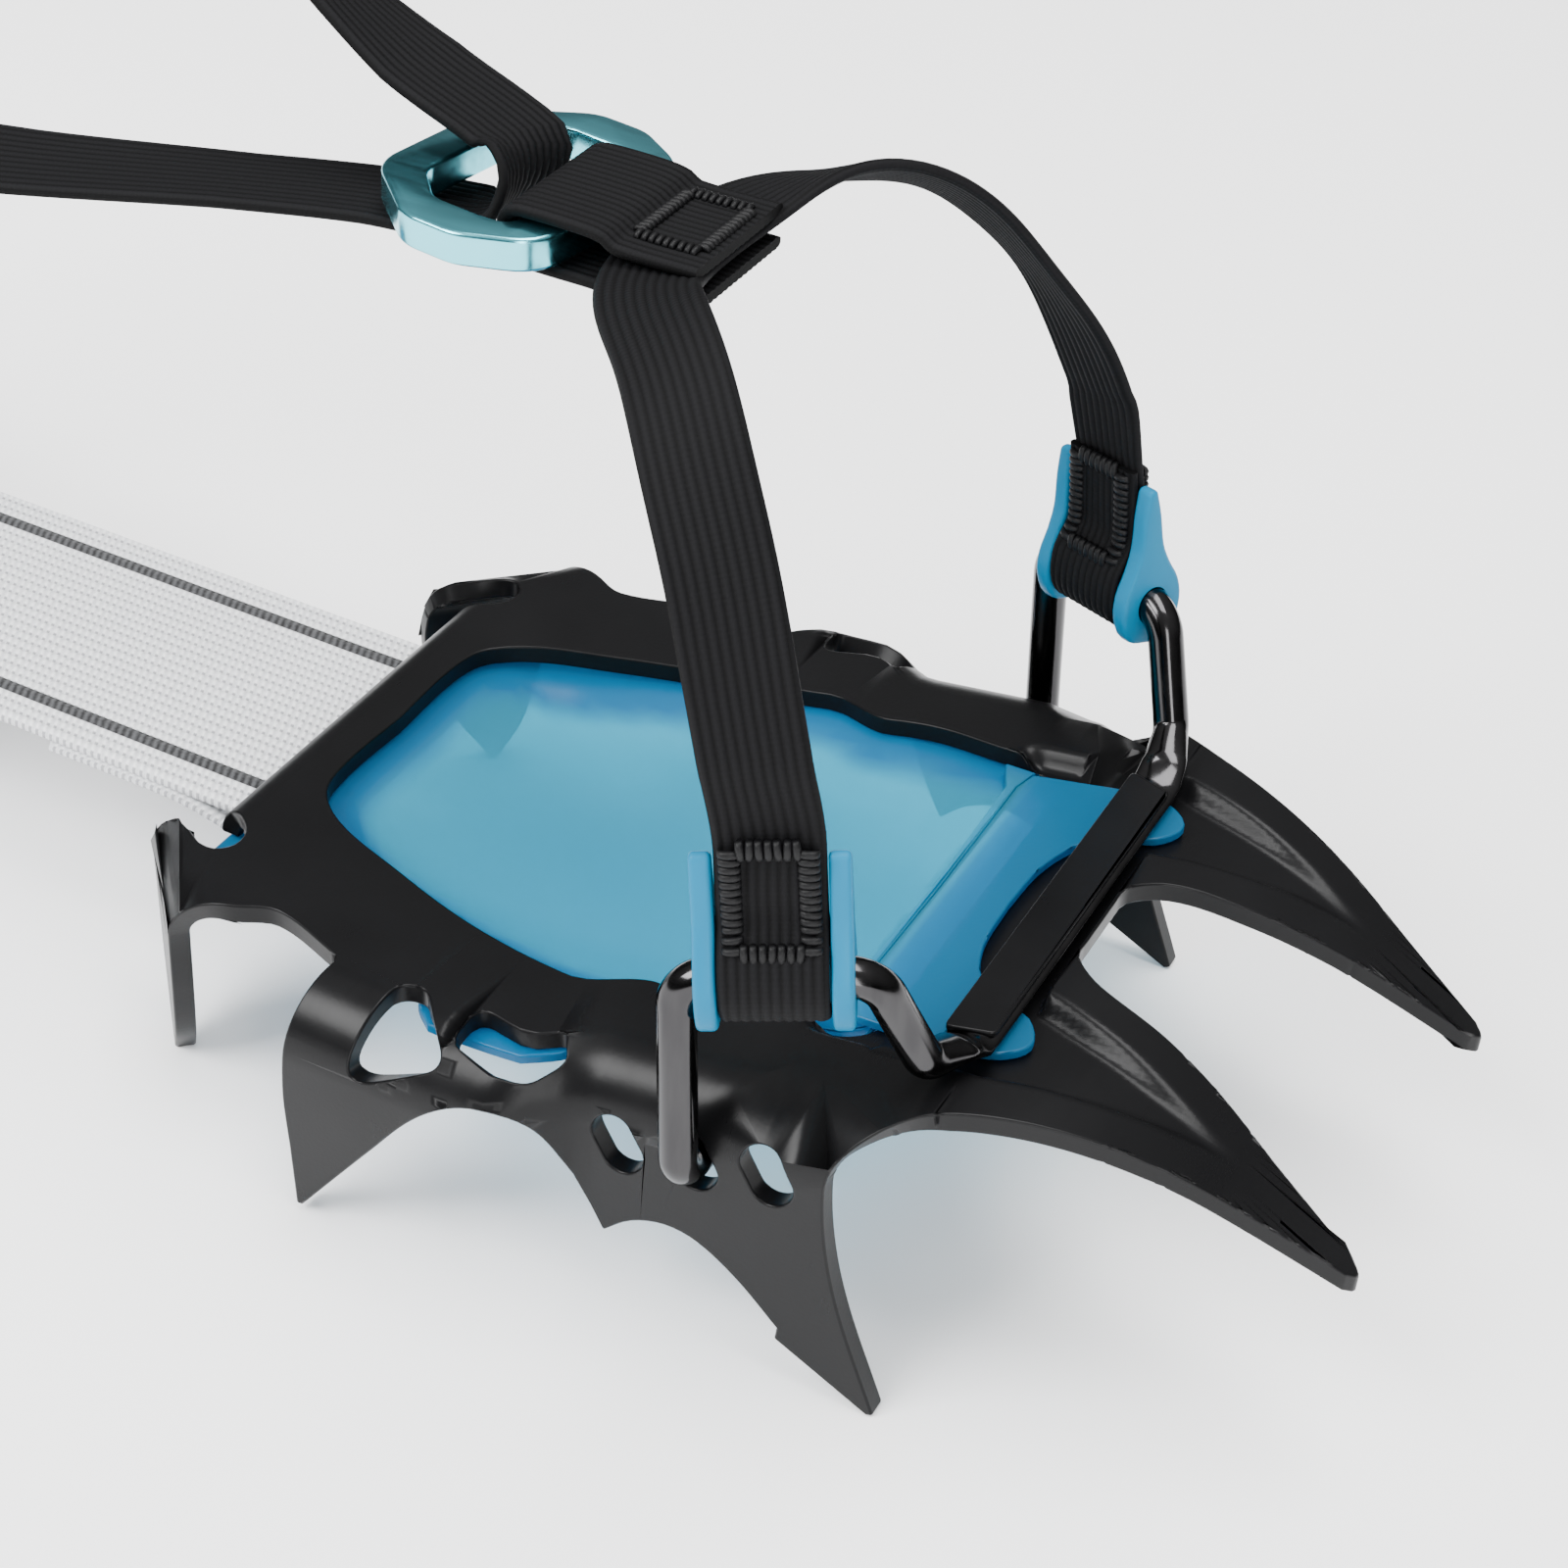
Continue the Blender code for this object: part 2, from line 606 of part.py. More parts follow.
# ---- the toe bail ----
WIRE_RADIUS = WIRE_DIAMETER / 2
LEG_FOOT = Vector((55.3, BAIL_PIVOT.y, BAIL_PIVOT.z))
REAR_ELBOW = Vector((55.0, -77.3, 26.0))
FRONT_ELBOW = Vector((45.0, -98.3, 28.3))
STRAP_SEAT = (REAR_ELBOW + FRONT_ELBOW) / 2 + Vector((0, 0, 0.2))
RUN_WAY = (FRONT_ELBOW - REAR_ELBOW).normalized()


def bail_side(side):
    """The wire on one side, from its end inside the flange slot to the flat bar."""
    corners = [
        Vector((46.5, BAIL_PIVOT.y, BAIL_PIVOT.z)),
        LEG_FOOT,
        REAR_ELBOW,
        FRONT_ELBOW,
        Vector((39.8, -103.7, 13.2)),
        Vector((34.0, -105.3, 11.8)),
        Vector((31.0, -105.5, 10.0)),
    ]
    return [Vector((side * p.x, p.y, p.z)) for p in bent_path(corners, (3.6, 4.5, 5.5, 3.0, 3.0), 4)]


def make_toe_bail():
    path = [Vector((0, -105.5, 9.8)), Vector((29, -105.5, 9.8)), *reversed(bail_side(1))]
    flattened = [(3.4, 1.0), (3.4, 1.0), (3.1, 1.2), (2.9, 1.5), (2.7, 1.9), (2.6, 2.2)]
    radii = flattened + [(WIRE_RADIUS, WIRE_RADIUS)] * (len(path) - len(flattened))
    right = tube(path, radii, Vector((0, 1, 0)), 12)
    left = [[Vector((-p.x, p.y, p.z)) for p in ring] for ring in right[:0:-1]]
    return place("toe_bail", loft(left + right), WIRE, BAIL_PIVOT)


def strap_axes(side):
    """Across the strap, up the strap and outwards, where the front strap meets the wire."""
    across = Vector((side * RUN_WAY.x, RUN_WAY.y, RUN_WAY.z))
    up = Vector((0, 0.15, 0.99))
    up = (up - across * up.dot(across)).normalized()
    out = across.cross(up) * side
    if out.x * side < 0:
        out = -out
    return across, up, out


SLEEVE = 3.3


def make_guard(side, name):
    """A sleeve on the wire with a tapered rail along each edge of the strap."""
    across, up, out = strap_axes(side)
    seat = Vector((side * STRAP_SEAT.x, STRAP_SEAT.y, STRAP_SEAT.z))
    half = STRAP_WIDTH / 2 + 0.45
    rail_width = 2.0
    sleeve = rod(seat - across * (half + 1), seat + across * (half + 1), 2 * SLEEVE, 14)
    made = place(name, sleeve, GUARD, BAIL_PIVOT)
    for end in (-1, 1):
        profile = joined([
            smooth([(-0.8, 17.5), (-1.6, 13.5), (-2.2, 8.5), (-3.4, 5.2), (-5, 2), (-5.4, -1.5), (-4, -5.2),
                    (0, -6.8)], 3),
            smooth([(0, -6.8), (4, -5.2), (5.4, -1.5), (5, 2), (3.4, 5.2), (2.2, 8.5), (1.6, 13.5),
                    (0.8, 17.5)], 3),
        ])
        rail = flat_sheet([profile], rail_width)
        base = seat + across * end * (half + rail_width / 2)
        matrix = Matrix.Identity(4)
        for row in range(3):
            matrix[row][0] = out[row]
            matrix[row][1] = up[row]
            matrix[row][2] = across[row]
            matrix[row][3] = base[row] + across[row] * rail_width / 2
        bmesh.ops.transform(rail, matrix=matrix, verts=rail.verts)
        bmesh.ops.recalc_face_normals(rail, faces=rail.faces)
        boolean(made, place(f"{name}_rail_{end}", rail, None, collection=CUTTERS), "UNION")
    wire = bail_side(side)
    wire = wire[3:-3]
    hole = loft(tube(wire, [(WIRE_RADIUS + PIN_GAP, WIRE_RADIUS + PIN_GAP)] * len(wire), sides=12))
    boolean(made, place(f"{name}_bore", hole, None, collection=CUTTERS), "DIFFERENCE")
    return made


# Middle of the strap above each guard and over the toes, and the way that its width runs there.
STRAP_LINE = [
    ((49.6, -82.9, 57), (-0.32, -0.87, -0.08)),
    ((48.4, -80.9, 62), (-0.21, -0.84, -0.27)),
    ((46.9, -78.8, 67), (-0.11, -0.81, -0.45)),
    ((44.5, -75.8, 73), (0, -0.78, -0.63)),
    ((41.6, -72.6, 78), (0, -0.85, -0.50)),
    ((40, -70, 81), (0, -0.90, -0.43)),
    ((36, -65.6, 87.0), (0, -0.99, -0.16)),
    ((32, -62, 89.9), (0, -0.99, 0.15)),
    ((28, -58, 91.2), (0, -0.90, 0.44)),
    ((24, -54.7, 91.4), (0, -0.83, 0.56)),
    ((19, -50, 90.4), (0, -0.91, 0.41)),
    ((13.5, -46.6, 88.6), (0, -1, 0.07)),
    ((9, -45, 88.0), (0, -1, 0)),
    ((0, -44.5, 87.9), (0, -1, 0)),
]


def strap_half(side):
    """Path and width directions from the sewn end, round the wire and up to the middle."""
    across, up, out = strap_axes(side)
    seat = Vector((side * STRAP_SEAT.x, STRAP_SEAT.y, STRAP_SEAT.z))
    radius = SLEEVE + 0.65 + WEBBING_THICKNESS / 2
    layer = (WEBBING_THICKNESS + 0.35) / 2
    near = [(19.5, layer), (12, layer), (8, 1.3 * layer), (4, 0.85 * radius)]
    path = [seat + up * height - out * offset for height, offset in near]
    for k in range(7):
        angle = math.pi * k / 6
        path.append(seat - out * radius * math.cos(angle) - up * radius * math.sin(angle))
    path += [seat + up * height + out * offset for height, offset in reversed(near[1:])]
    path.append(seat + up * 20)
    chords = [across] * len(path)
    for spot, chord in STRAP_LINE:
        path.append(Vector((side * spot[0], spot[1], spot[2])))
        chords.append(Vector((side * chord[0], chord[1], chord[2])))
    return path, chords


def make_front_strap():
    right, right_chords = strap_half(1)
    left, left_chords = strap_half(-1)
    path = right + left[-2::-1]
    chords = right_chords + left_chords[-2::-1]
    band = ribbon(path, chords, STRAP_WIDTH, WEBBING_THICKNESS)
    return place("front_strap", band, WEBBING, BAIL_PIVOT)


def make_ring_tab():
    """Webbing folded round the front bar of the ring and sewn on top of the front strap."""
    upper = 90.6
    lower = 86.1
    lift = RING_THICKNESS / 2 + 0.35 + WEBBING_THICKNESS / 2
    front = RING_PIVOT.y - RING_BAR / 2 - TAB_SLACK
    back = RING_PIVOT.y + RING_BAR / 2 + TAB_SLACK
    top = [(-52.4, upper), (-41, upper), (front - 1.5, RING_PIVOT.z + lift - 0.4),
           (front + 1, RING_PIVOT.z + lift)]
    path = [Vector((0, y, z)) for y, z in top]
    for k in range(7):
        angle = math.radians(90 - 180 * k / 6)
        path.append(Vector((0, back - 1.5 + 2.4 * math.cos(angle), RING_PIVOT.z + lift * math.sin(angle))))
    under = [(front + 1, RING_PIVOT.z - lift), (front - 1.5, RING_PIVOT.z - lift + 0.1), (-41, lower),
             (-52.4, lower)]
    path += [Vector((0, y, z)) for y, z in under]
    band = ribbon(path, [(1, 0, 0)] * len(path), 22.0, 1.5)
    return place("ring_tab", band, WEBBING, BAIL_PIVOT)


def make_ring():
    """An open six-sided ring with rounded corners."""
    front = -RING_BAR / 2
    back = front + RING_LENGTH
    middle = (front + back) / 2

    def hexagon(inset):
        wide = RING_HALF_WIDTH - inset
        right = [(14 - inset * 0.3, front + inset), (wide, middle - 5), (wide, middle + 3),
                 (10.5 - inset * 0.4, back - inset)]
        return right + [(-x, y) for x, y in reversed(right)]

    ring = flat_sheet([rounded(hexagon(0), 7, 4), rounded(hexagon(RING_BAR), 4, 4)], RING_THICKNESS)
    lift = Matrix.Translation(RING_PIVOT + Vector((0, 0, RING_THICKNESS / 2)))
    bmesh.ops.transform(ring, matrix=lift @ Matrix.Rotation(math.radians(RING_YAW), 4, "Z"), verts=ring.verts)
    return place("strap_ring", ring, ANODISED, RING_PIVOT)


# ---- the heel section ----
def heel_flange(y, run):
    return Vector((HEEL_HALF_WIDTH + run, y))


HEEL_POINTS = HEEL_FRONT + 6.0   # y of the front edge of the heel flanges
HEEL_SIDE = joined([
    [Vector((0, HEEL_FRONT)), Vector((22, HEEL_FRONT))],
    smooth([Vector((22, HEEL_FRONT)), Vector((24, HEEL_FRONT + 1.5)), Vector((26, HEEL_POINTS + 1))], 2),
    smooth([heel_flange(HEEL_POINTS + 1, 0), heel_flange(HEEL_POINTS, 12), heel_flange(HEEL_POINTS - 1, 26),
            heel_flange(HEEL_POINTS + 1, 41.4)]),
    [heel_flange(HEEL_POINTS + 1, 41.4), heel_flange(HEEL_POINTS + 2, 41.3)],
    smooth([heel_flange(HEEL_POINTS + 2, 41.3), heel_flange(HEEL_POINTS + 10, 28),
            heel_flange(HEEL_POINTS + 18, 20.5), heel_flange(HEEL_POINTS + 30, 18.5),
            heel_flange(HEEL_POINTS + 44, 20.5), heel_flange(HEEL_POINTS + 54, 28),
            heel_flange(HEEL_POINTS + 63, 41.3)]),
    [heel_flange(HEEL_POINTS + 63, 41.3), heel_flange(HEEL_POINTS + 64, 41.4)],
    smooth([heel_flange(HEEL_POINTS + 64, 41.4), heel_flange(HEEL_POINTS + 66, 26),
            heel_flange(HEEL_POINTS + 64, 12), heel_flange(HEEL_POINTS + 63, 0),
            Vector((20, HEEL_BACK - 4.5))]),
    smooth([Vector((20, HEEL_BACK - 4.5)), Vector((12, HEEL_BACK - 1)), Vector((0, HEEL_BACK))]),
])
HEEL_OPENING = rounded([(18, 114), (18, 158), (10, 162), (-10, 162), (-18, 158), (-18, 114)], 5)
HEEL_BAIL_HOLE = 3.0             # radius
HEEL_ROUND = [
    heel_flange(HEEL_BAIL_PIVOT.y, HEEL_BAIL_RUN) + Vector((math.cos(a), math.sin(a))) * HEEL_BAIL_HOLE
    for a in (2 * math.pi * k / 12 for k in range(12))
]


def fold_heel(p):
    depth = -p.z
    side = math.copysign(1, p.x)
    wide = abs(p.x)
    run = wide - HEEL_HALF_WIDTH
    if run > 0:
        out, down = fold_bend(run, HEEL_BEND, depth)
        return Vector((side * (HEEL_HALF_WIDTH + out), p.y, -down))
    return Vector((p.x, p.y, -depth))


def make_heel_plate():
    rivet_hole = [
        RIVET_SPOT + Vector((math.cos(a), math.sin(a))) * RIVET_HOLE
        for a in (2 * math.pi * k / 10 for k in range(10))
    ]
    holes = [HEEL_OPENING, HEEL_ROUND, flipped(HEEL_ROUND), rivet_hole, flipped(rivet_hole)]
    sheet = flat_sheet([mirrored(HEEL_SIDE), *holes], SHEET)
    for side in (-1, 1):
        for k in range(5):
            line = side * (HEEL_HALF_WIDTH + HEEL_BEND * math.pi / 2 * k / 4)
            split(sheet, (line, 0, 0), (1, 0, 0))
    merge_flat(sheet)
    warp(sheet, fold_heel)
    bmesh.ops.triangulate(sheet, faces=sheet.faces)
    made = place("heel_plate", sheet, STEEL)
    for side in (-1, 1):
        low = (side * RIVET_SPOT.x, RIVET_SPOT.y, -SINK_DEPTH - 0.25)
        high = (side * RIVET_SPOT.x, RIVET_SPOT.y, 0.2)
        sink = rod(low, high, 2 * RIVET_HOLE - 0.5, 16, 2 * (RIVET_HOLE + SINK_DEPTH + 0.2))
        boolean(made, place(f"rivet_sink_{side}", sink, None, collection=CUTTERS), "DIFFERENCE")
    return made


def make_heel_antiball():
    outline = rounded([(22, 112), (24.5, 116), (24.5, 164), (18, 168), (-18, 168), (-24.5, 164), (-24.5, 116),
                       (-22, 112)], 4)
    skin = slab([outline], lambda x, y: -SHEET - GAP - 1.4, lambda x, y: -SHEET - GAP)
    return place("heel_antiball_plate", skin, ANTIBALL)


def make_strap_lock():
    """A frame under the front of the heel plate, and the cam lever that pinches the strap in it."""
    top = -SHEET - GAP
    low = -18.0
    length = (96.5, 111.0)
    middle = sum(length) / 2
    plate = block((0, middle, top - 0.8), (54.8, length[1] - length[0], 1.6), bevel=0.3)
    made = place("strap_lock_frame", plate, ANODISED)
    for side in (-1, 1):
        wall_top = top - 0.3
        wall = block(
            (side * 26.0, middle, (wall_top + low) / 2),
            (2.8, length[1] - length[0], wall_top - low),
            bevel=0.6,
        )
        boolean(made, place(f"lock_wall_{side}", wall, None, collection=CUTTERS), "UNION")
        spot = (side * RIVET_SPOT.x, RIVET_SPOT.y)
        hole = rod((*spot, -10), (*spot, 2), 2 * RIVET_HOLE, 10)
        boolean(made, place(f"rivet_hole_{side}", hole, None, collection=CUTTERS), "DIFFERENCE")
    bore = rod((-40, LOCK_PIVOT.y, LOCK_PIVOT.z), (40, LOCK_PIVOT.y, LOCK_PIVOT.z), LOCK_PIN + 2 * PIN_GAP)
    boolean(made, place("lock_bore", bore, None, collection=CUTTERS), "DIFFERENCE")
    pin = rod((-28.5, LOCK_PIVOT.y, LOCK_PIVOT.z), (28.5, LOCK_PIVOT.y, LOCK_PIVOT.z), LOCK_PIN)
    place("strap_lock_pin", pin, WIRE)

    profile = joined([
        smooth([(-4.5, 0), (-3.6, 3.4), (0, 4.9), (3.8, 3.2)], 2),
        smooth([(3.8, 3.2), (10, -0.2), (24, -1.0)], 5),
        smooth([(24, -1.0), (25.2, -2.2), (24, -3.4)], 2),
        smooth([(24, -3.4), (10, -3.2), (2, -4.2), (-2.8, -3.6), (-4.5, 0)], 4),
    ])[:-1]
    cam = flat_sheet([profile], 48.0)
    matrix = Matrix(((0, 0, 1, 24.0), (1, 0, 0, LOCK_PIVOT.y), (0, 1, 0, LOCK_PIVOT.z), (0, 0, 0, 1)))
    bmesh.ops.transform(cam, matrix=matrix, verts=cam.verts)
    bmesh.ops.recalc_face_normals(cam, faces=cam.faces)
    lever = place("strap_lock_lever", cam, POLYMER, LOCK_PIVOT)
    hole = rod((-40, LOCK_PIVOT.y, LOCK_PIVOT.z), (40, LOCK_PIVOT.y, LOCK_PIVOT.z), LOCK_PIN + 2 * PIN_GAP)
    boolean(lever, place("lever_bore", hole, None, collection=CUTTERS), "DIFFERENCE")


def make_rivet(side, name):
    """A countersunk rivet from the heel plate into the frame below it; its head is below the plate's top."""
    shank = RIVET_SHANK / 2
    profile = [(0, -0.1), (shank + SINK_DEPTH - 0.2, -0.1), (shank, 0.1 - SINK_DEPTH), (shank, -5.35),
               (3.0, -5.35), (2.6, -5.9), (0, -6.0)]
    mesh = bpy.data.meshes.new(name)
    edges = [(i, i + 1) for i in range(len(profile) - 1)]
    mesh.from_pydata([(x * METRE, 0, z * METRE) for x, z in profile], edges, [])
    mesh.materials.append(WIRE)
    made = bpy.data.objects.new(name, mesh)
    made.location = Vector((side * RIVET_SPOT.x, RIVET_SPOT.y, 0)) * METRE
    PARTS.objects.link(made)
    turn = made.modifiers.new("turn", "SCREW")
    turn.steps = turn.render_steps = 12
    turn.use_merge_vertices = True
    turn.merge_threshold = 0.00001
    return made


def make_heel_bail():
    corners = [
        Vector((28.0, HEEL_BAIL_PIVOT.y, HEEL_BAIL_PIVOT.z)),
        Vector((37.0, HEEL_BAIL_PIVOT.y, HEEL_BAIL_PIVOT.z)),
        Vector((37.0, 168, 16)),
        Vector((30.0, LEVER_PIVOT.y, LEVER_PIVOT.z)),
    ]
    right = bent_path([*corners, LEVER_PIVOT], (3.6, 16, 8), 4)
    left = [Vector((-p.x, p.y, p.z)) for p in right[-2::-1]]
    path = right + left
    radii = [(2.0, 2.0)] * len(path)
    return place("heel_bail", loft(tube(path, radii, sides=10)), WIRE, HEEL_BAIL_PIVOT)


def make_heel_lever():
    """A moulded lever hooked over the heel bail, with a slot on each side for the ankle strap."""
    profile = joined([
        smooth([(-4.5, 0), (-3.2, -3.2), (0, -4.6), (3.4, -3.2), (4.8, 0)], 2.5),
        smooth([(4.8, 0), (5.2, 12), (7.2, 34), (11.5, 50)], 8),
        smooth([(11.5, 50), (11.3, 52.2), (8.6, 51.6)], 2),
        smooth([(8.6, 51.6), (3.2, 36), (0.6, 16), (-1.6, 5), (-4.5, 0)], 8),
    ])[:-1]
    body = flat_sheet([profile], 46.0)
    matrix = Matrix(((0, 0, 1, 23.0), (1, 0, 0, LEVER_PIVOT.y), (0, 1, 0, LEVER_PIVOT.z), (0, 0, 0, 1)))
    bmesh.ops.transform(body, matrix=matrix, verts=body.verts)
    bmesh.ops.recalc_face_normals(body, faces=body.faces)
    made = place("heel_lever", body, POLYMER, LEVER_PIVOT)
    bore = rod((-40, LEVER_PIVOT.y, LEVER_PIVOT.z), (40, LEVER_PIVOT.y, LEVER_PIVOT.z), 4.0 + 2 * 0.4)
    boolean(made, place("heel_lever_bore", bore, None, collection=CUTTERS), "DIFFERENCE")
    for side in (-1, 1):
        slot = block((side * 16.0, LEVER_PIVOT.y + 4, LEVER_PIVOT.z + 30), (3.6, 30, 17.5))
        boolean(made, place(f"strap_slot_{side}", slot, None, collection=CUTTERS), "DIFFERENCE")
    return made


# ---- the ankle strap ----
def smooth_path(points, step=16.0):
    knots = [Vector(p) for p in points]
    path = [knots[0]]
    for i in range(len(knots) - 1):
        before = knots[max(i - 1, 0)]
        after = knots[min(i + 2, len(knots) - 1)]
        count = max(1, round((knots[i + 1] - knots[i]).length / step))
        for k in range(1, count + 1):
            t = k / count
            start = (knots[i + 1] - before) / 2
            finish = (after - knots[i]) / 2
            path.append(
                knots[i] * (2 * t**3 - 3 * t**2 + 1)
                + knots[i + 1] * (3 * t**2 - 2 * t**3)
                + start * (t**3 - 2 * t**2 + t)
                + finish * (t**3 - t**2)
            )
    return path


def hairpin(side, y, z):
    """The end of a strand, through the slot from the front and back round the outer bar of the lever."""
    turns = ((21.0, -7.5), (16.6, -4.6), (16.0, -2.0), (16.0, 5.0), (17.2, 6.6), (22.8, 6.6), (24.8, 4.6),
             (25.0, -6.0))
    return [Vector((side * x, y + out, z)) for x, out in turns]


def make_buckle(middle, along, across):
    """A frame round the far strand, and the hinged cam lever that grips it."""
    along = along.normalized()
    across = (across - along * across.dot(along)).normalized()
    face = across.cross(along)
    if face.x < 0:
        face = -face
    turn = Matrix((along, across, face)).transposed().to_4x4()

    def at(a, b, c):
        return middle + along * a + across * b + face * c

    made = place("ankle_buckle_frame", block(at(0, 0, 0), (24, 22, 5.4), turn, 0.8), POLYMER)
    channel = block(at(0, 0, 0), (40, ANKLE_WIDTH + 1.0, WEBBING_THICKNESS + 2.0), turn)
    boolean(made, place("buckle_channel", channel, None, collection=CUTTERS), "DIFFERENCE")
    for side in (-1, 1):
        ear = block(at(-7, side * 9.4, 4.2), (8, 2.4, 6.4), turn, 0.6)
        boolean(made, place(f"buckle_ear_{side}", ear, None, collection=CUTTERS), "UNION")
    bore = rod(at(-7, -14, BUCKLE_PIN_HEIGHT), at(-7, 14, BUCKLE_PIN_HEIGHT), BUCKLE_PIN + 2 * PIN_GAP, 10)
    boolean(made, place("buckle_bore", bore, None, collection=CUTTERS), "DIFFERENCE")
    pin = rod(at(-7, -11, BUCKLE_PIN_HEIGHT), at(-7, 11, BUCKLE_PIN_HEIGHT), BUCKLE_PIN, 10)
    place("ankle_buckle_pin", pin, WIRE)
    pivot = at(-7, 0, BUCKLE_PIN_HEIGHT)
    profile = rounded([(-2.1, -1.9), (19, -1.9), (21, -0.6), (21, 0.6), (4, 2.1), (-2.1, 2.1)], 0.9)
    cam = flat_sheet([profile], 15.6)
    matrix = Matrix((along, face, across)).transposed().to_4x4()
    lift = Matrix.Translation(pivot) @ matrix @ Matrix.Translation((0, 0, 7.8))
    bmesh.ops.transform(cam, matrix=lift, verts=cam.verts)
    bmesh.ops.recalc_face_normals(cam, faces=cam.faces)
    lever = place("ankle_buckle_lever", cam, ANODISED, pivot)
    hole = rod(at(-7, -14, BUCKLE_PIN_HEIGHT), at(-7, 14, BUCKLE_PIN_HEIGHT), BUCKLE_PIN + 2 * PIN_GAP, 10)
    boolean(lever, place("buckle_lever_bore", hole, None, collection=CUTTERS), "DIFFERENCE")


def make_ankle_strap():
    """Two strands of one strap that turns through the ring; they are held apart at the ring."""
    lever_y = LEVER_PIVOT.y + 4
    lever_z = LEVER_PIVOT.z + 30
    near = smooth_path([(-1.5, -16, 84.6), (-3.5, -3, 84.2), (-8, 16, 82.8), (-15, 46, 80), (-30, 120, 74),
                        (-35, 155, 71), (-31, 176, 70)])
    near += hairpin(-1, lever_y, lever_z)
    chords = []
    for p in near:
        lean = math.radians(40 * blend(10, 150, p.y) + 50 * blend(110, 176, p.y))
        chords.append((math.cos(lean), 0, math.sin(lean)))
    strand = ribbon(near, chords, ANKLE_WIDTH, WEBBING_THICKNESS)
    place("ankle_strap_near", strand, WEBBING)
    far = smooth_path([(6.0, -16, 93.4), (7.5, -2, 98), (13, 24, 107.5), (22, 60, 115), (34, 104, 106),
                       (40, 140, 91), (35, 172, 75)])
    far += hairpin(1, lever_y, lever_z)
    chords = [(blend(0, 80, p.y) - 1, 0, blend(-5, 60, p.y)) for p in far]
    strand = ribbon(far, chords, ANKLE_WIDTH, WEBBING_THICKNESS)
    place("ankle_strap_far", strand, WEBBING)
    spot = min(range(len(far)), key=lambda i: abs(far[i].y - BUCKLE_Y))
    make_buckle(far[spot], far[spot + 1] - far[spot - 1], Vector(chords[spot]))


def main():
    make_front_plate()
    make_front_antiball()
    make_link()
    make_toe_bail()
    make_guard(1, "strap_guard_far")
    make_guard(-1, "strap_guard_near")
    make_front_strap()
    make_ring_tab()
    make_ring()
    make_heel_plate()
    make_heel_antiball()
    make_strap_lock()
    make_rivet(-1, "lock_rivet_near")
    make_rivet(1, "lock_rivet_far")
    make_heel_bail()
    make_heel_lever()
    make_ankle_strap()


main()
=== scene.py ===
"""Looks for the crampon: fine meshes, webbing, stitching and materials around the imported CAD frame."""
import math

import bmesh
import bpy
import numpy as np
from mathutils import Matrix, Quaternion, Vector


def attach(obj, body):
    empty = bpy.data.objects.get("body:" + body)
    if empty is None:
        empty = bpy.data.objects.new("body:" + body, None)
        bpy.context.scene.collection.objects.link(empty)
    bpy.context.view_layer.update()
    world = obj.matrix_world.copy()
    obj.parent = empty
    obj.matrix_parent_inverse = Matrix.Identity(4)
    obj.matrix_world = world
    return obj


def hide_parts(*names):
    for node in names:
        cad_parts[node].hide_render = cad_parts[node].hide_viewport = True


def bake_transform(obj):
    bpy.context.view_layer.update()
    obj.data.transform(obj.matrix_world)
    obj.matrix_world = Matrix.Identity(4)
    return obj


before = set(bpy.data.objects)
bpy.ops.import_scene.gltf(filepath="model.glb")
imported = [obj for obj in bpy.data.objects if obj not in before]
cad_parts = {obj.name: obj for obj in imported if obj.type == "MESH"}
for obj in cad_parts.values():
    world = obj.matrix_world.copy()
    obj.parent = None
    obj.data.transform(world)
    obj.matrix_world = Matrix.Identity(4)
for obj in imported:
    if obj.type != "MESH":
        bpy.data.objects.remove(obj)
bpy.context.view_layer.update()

MM = 0.001
ROOT = "front_section"

# ---- webbing, in millimetres ----
RIB_PITCH = 1.25
WEFT_PITCH = 0.7
RIB_RELIEF = 0.16
CORD_PITCH = 1.85
CORD_TWIST_PITCH = 1.25
LINK_WIDTH = 48.0
LINK_LINE_OFFSET = 17.6
LINK_LINE_HALF_WIDTH = 1.15
STRAP_WIDTH = 13.0
ANKLE_WIDTH = 15.0
TAB_WIDTH = 22.0
WEBBING_THICKNESS = 1.5


def add_object(name, data):
    made = bpy.data.objects.new(name, data)
    bpy.context.scene.collection.objects.link(made)
    return made


def baked(name, mesh):
    data = bpy.data.meshes.new(name)
    mesh.to_mesh(data)
    mesh.free()
    return data


def evaluated(made):
    """The object's mesh, with its modifiers, to edit further."""
    data = bpy.data.meshes.new_from_object(made.evaluated_get(bpy.context.evaluated_depsgraph_get()))
    mesh = bmesh.new()
    mesh.from_mesh(data)
    bpy.data.meshes.remove(data)
    return mesh


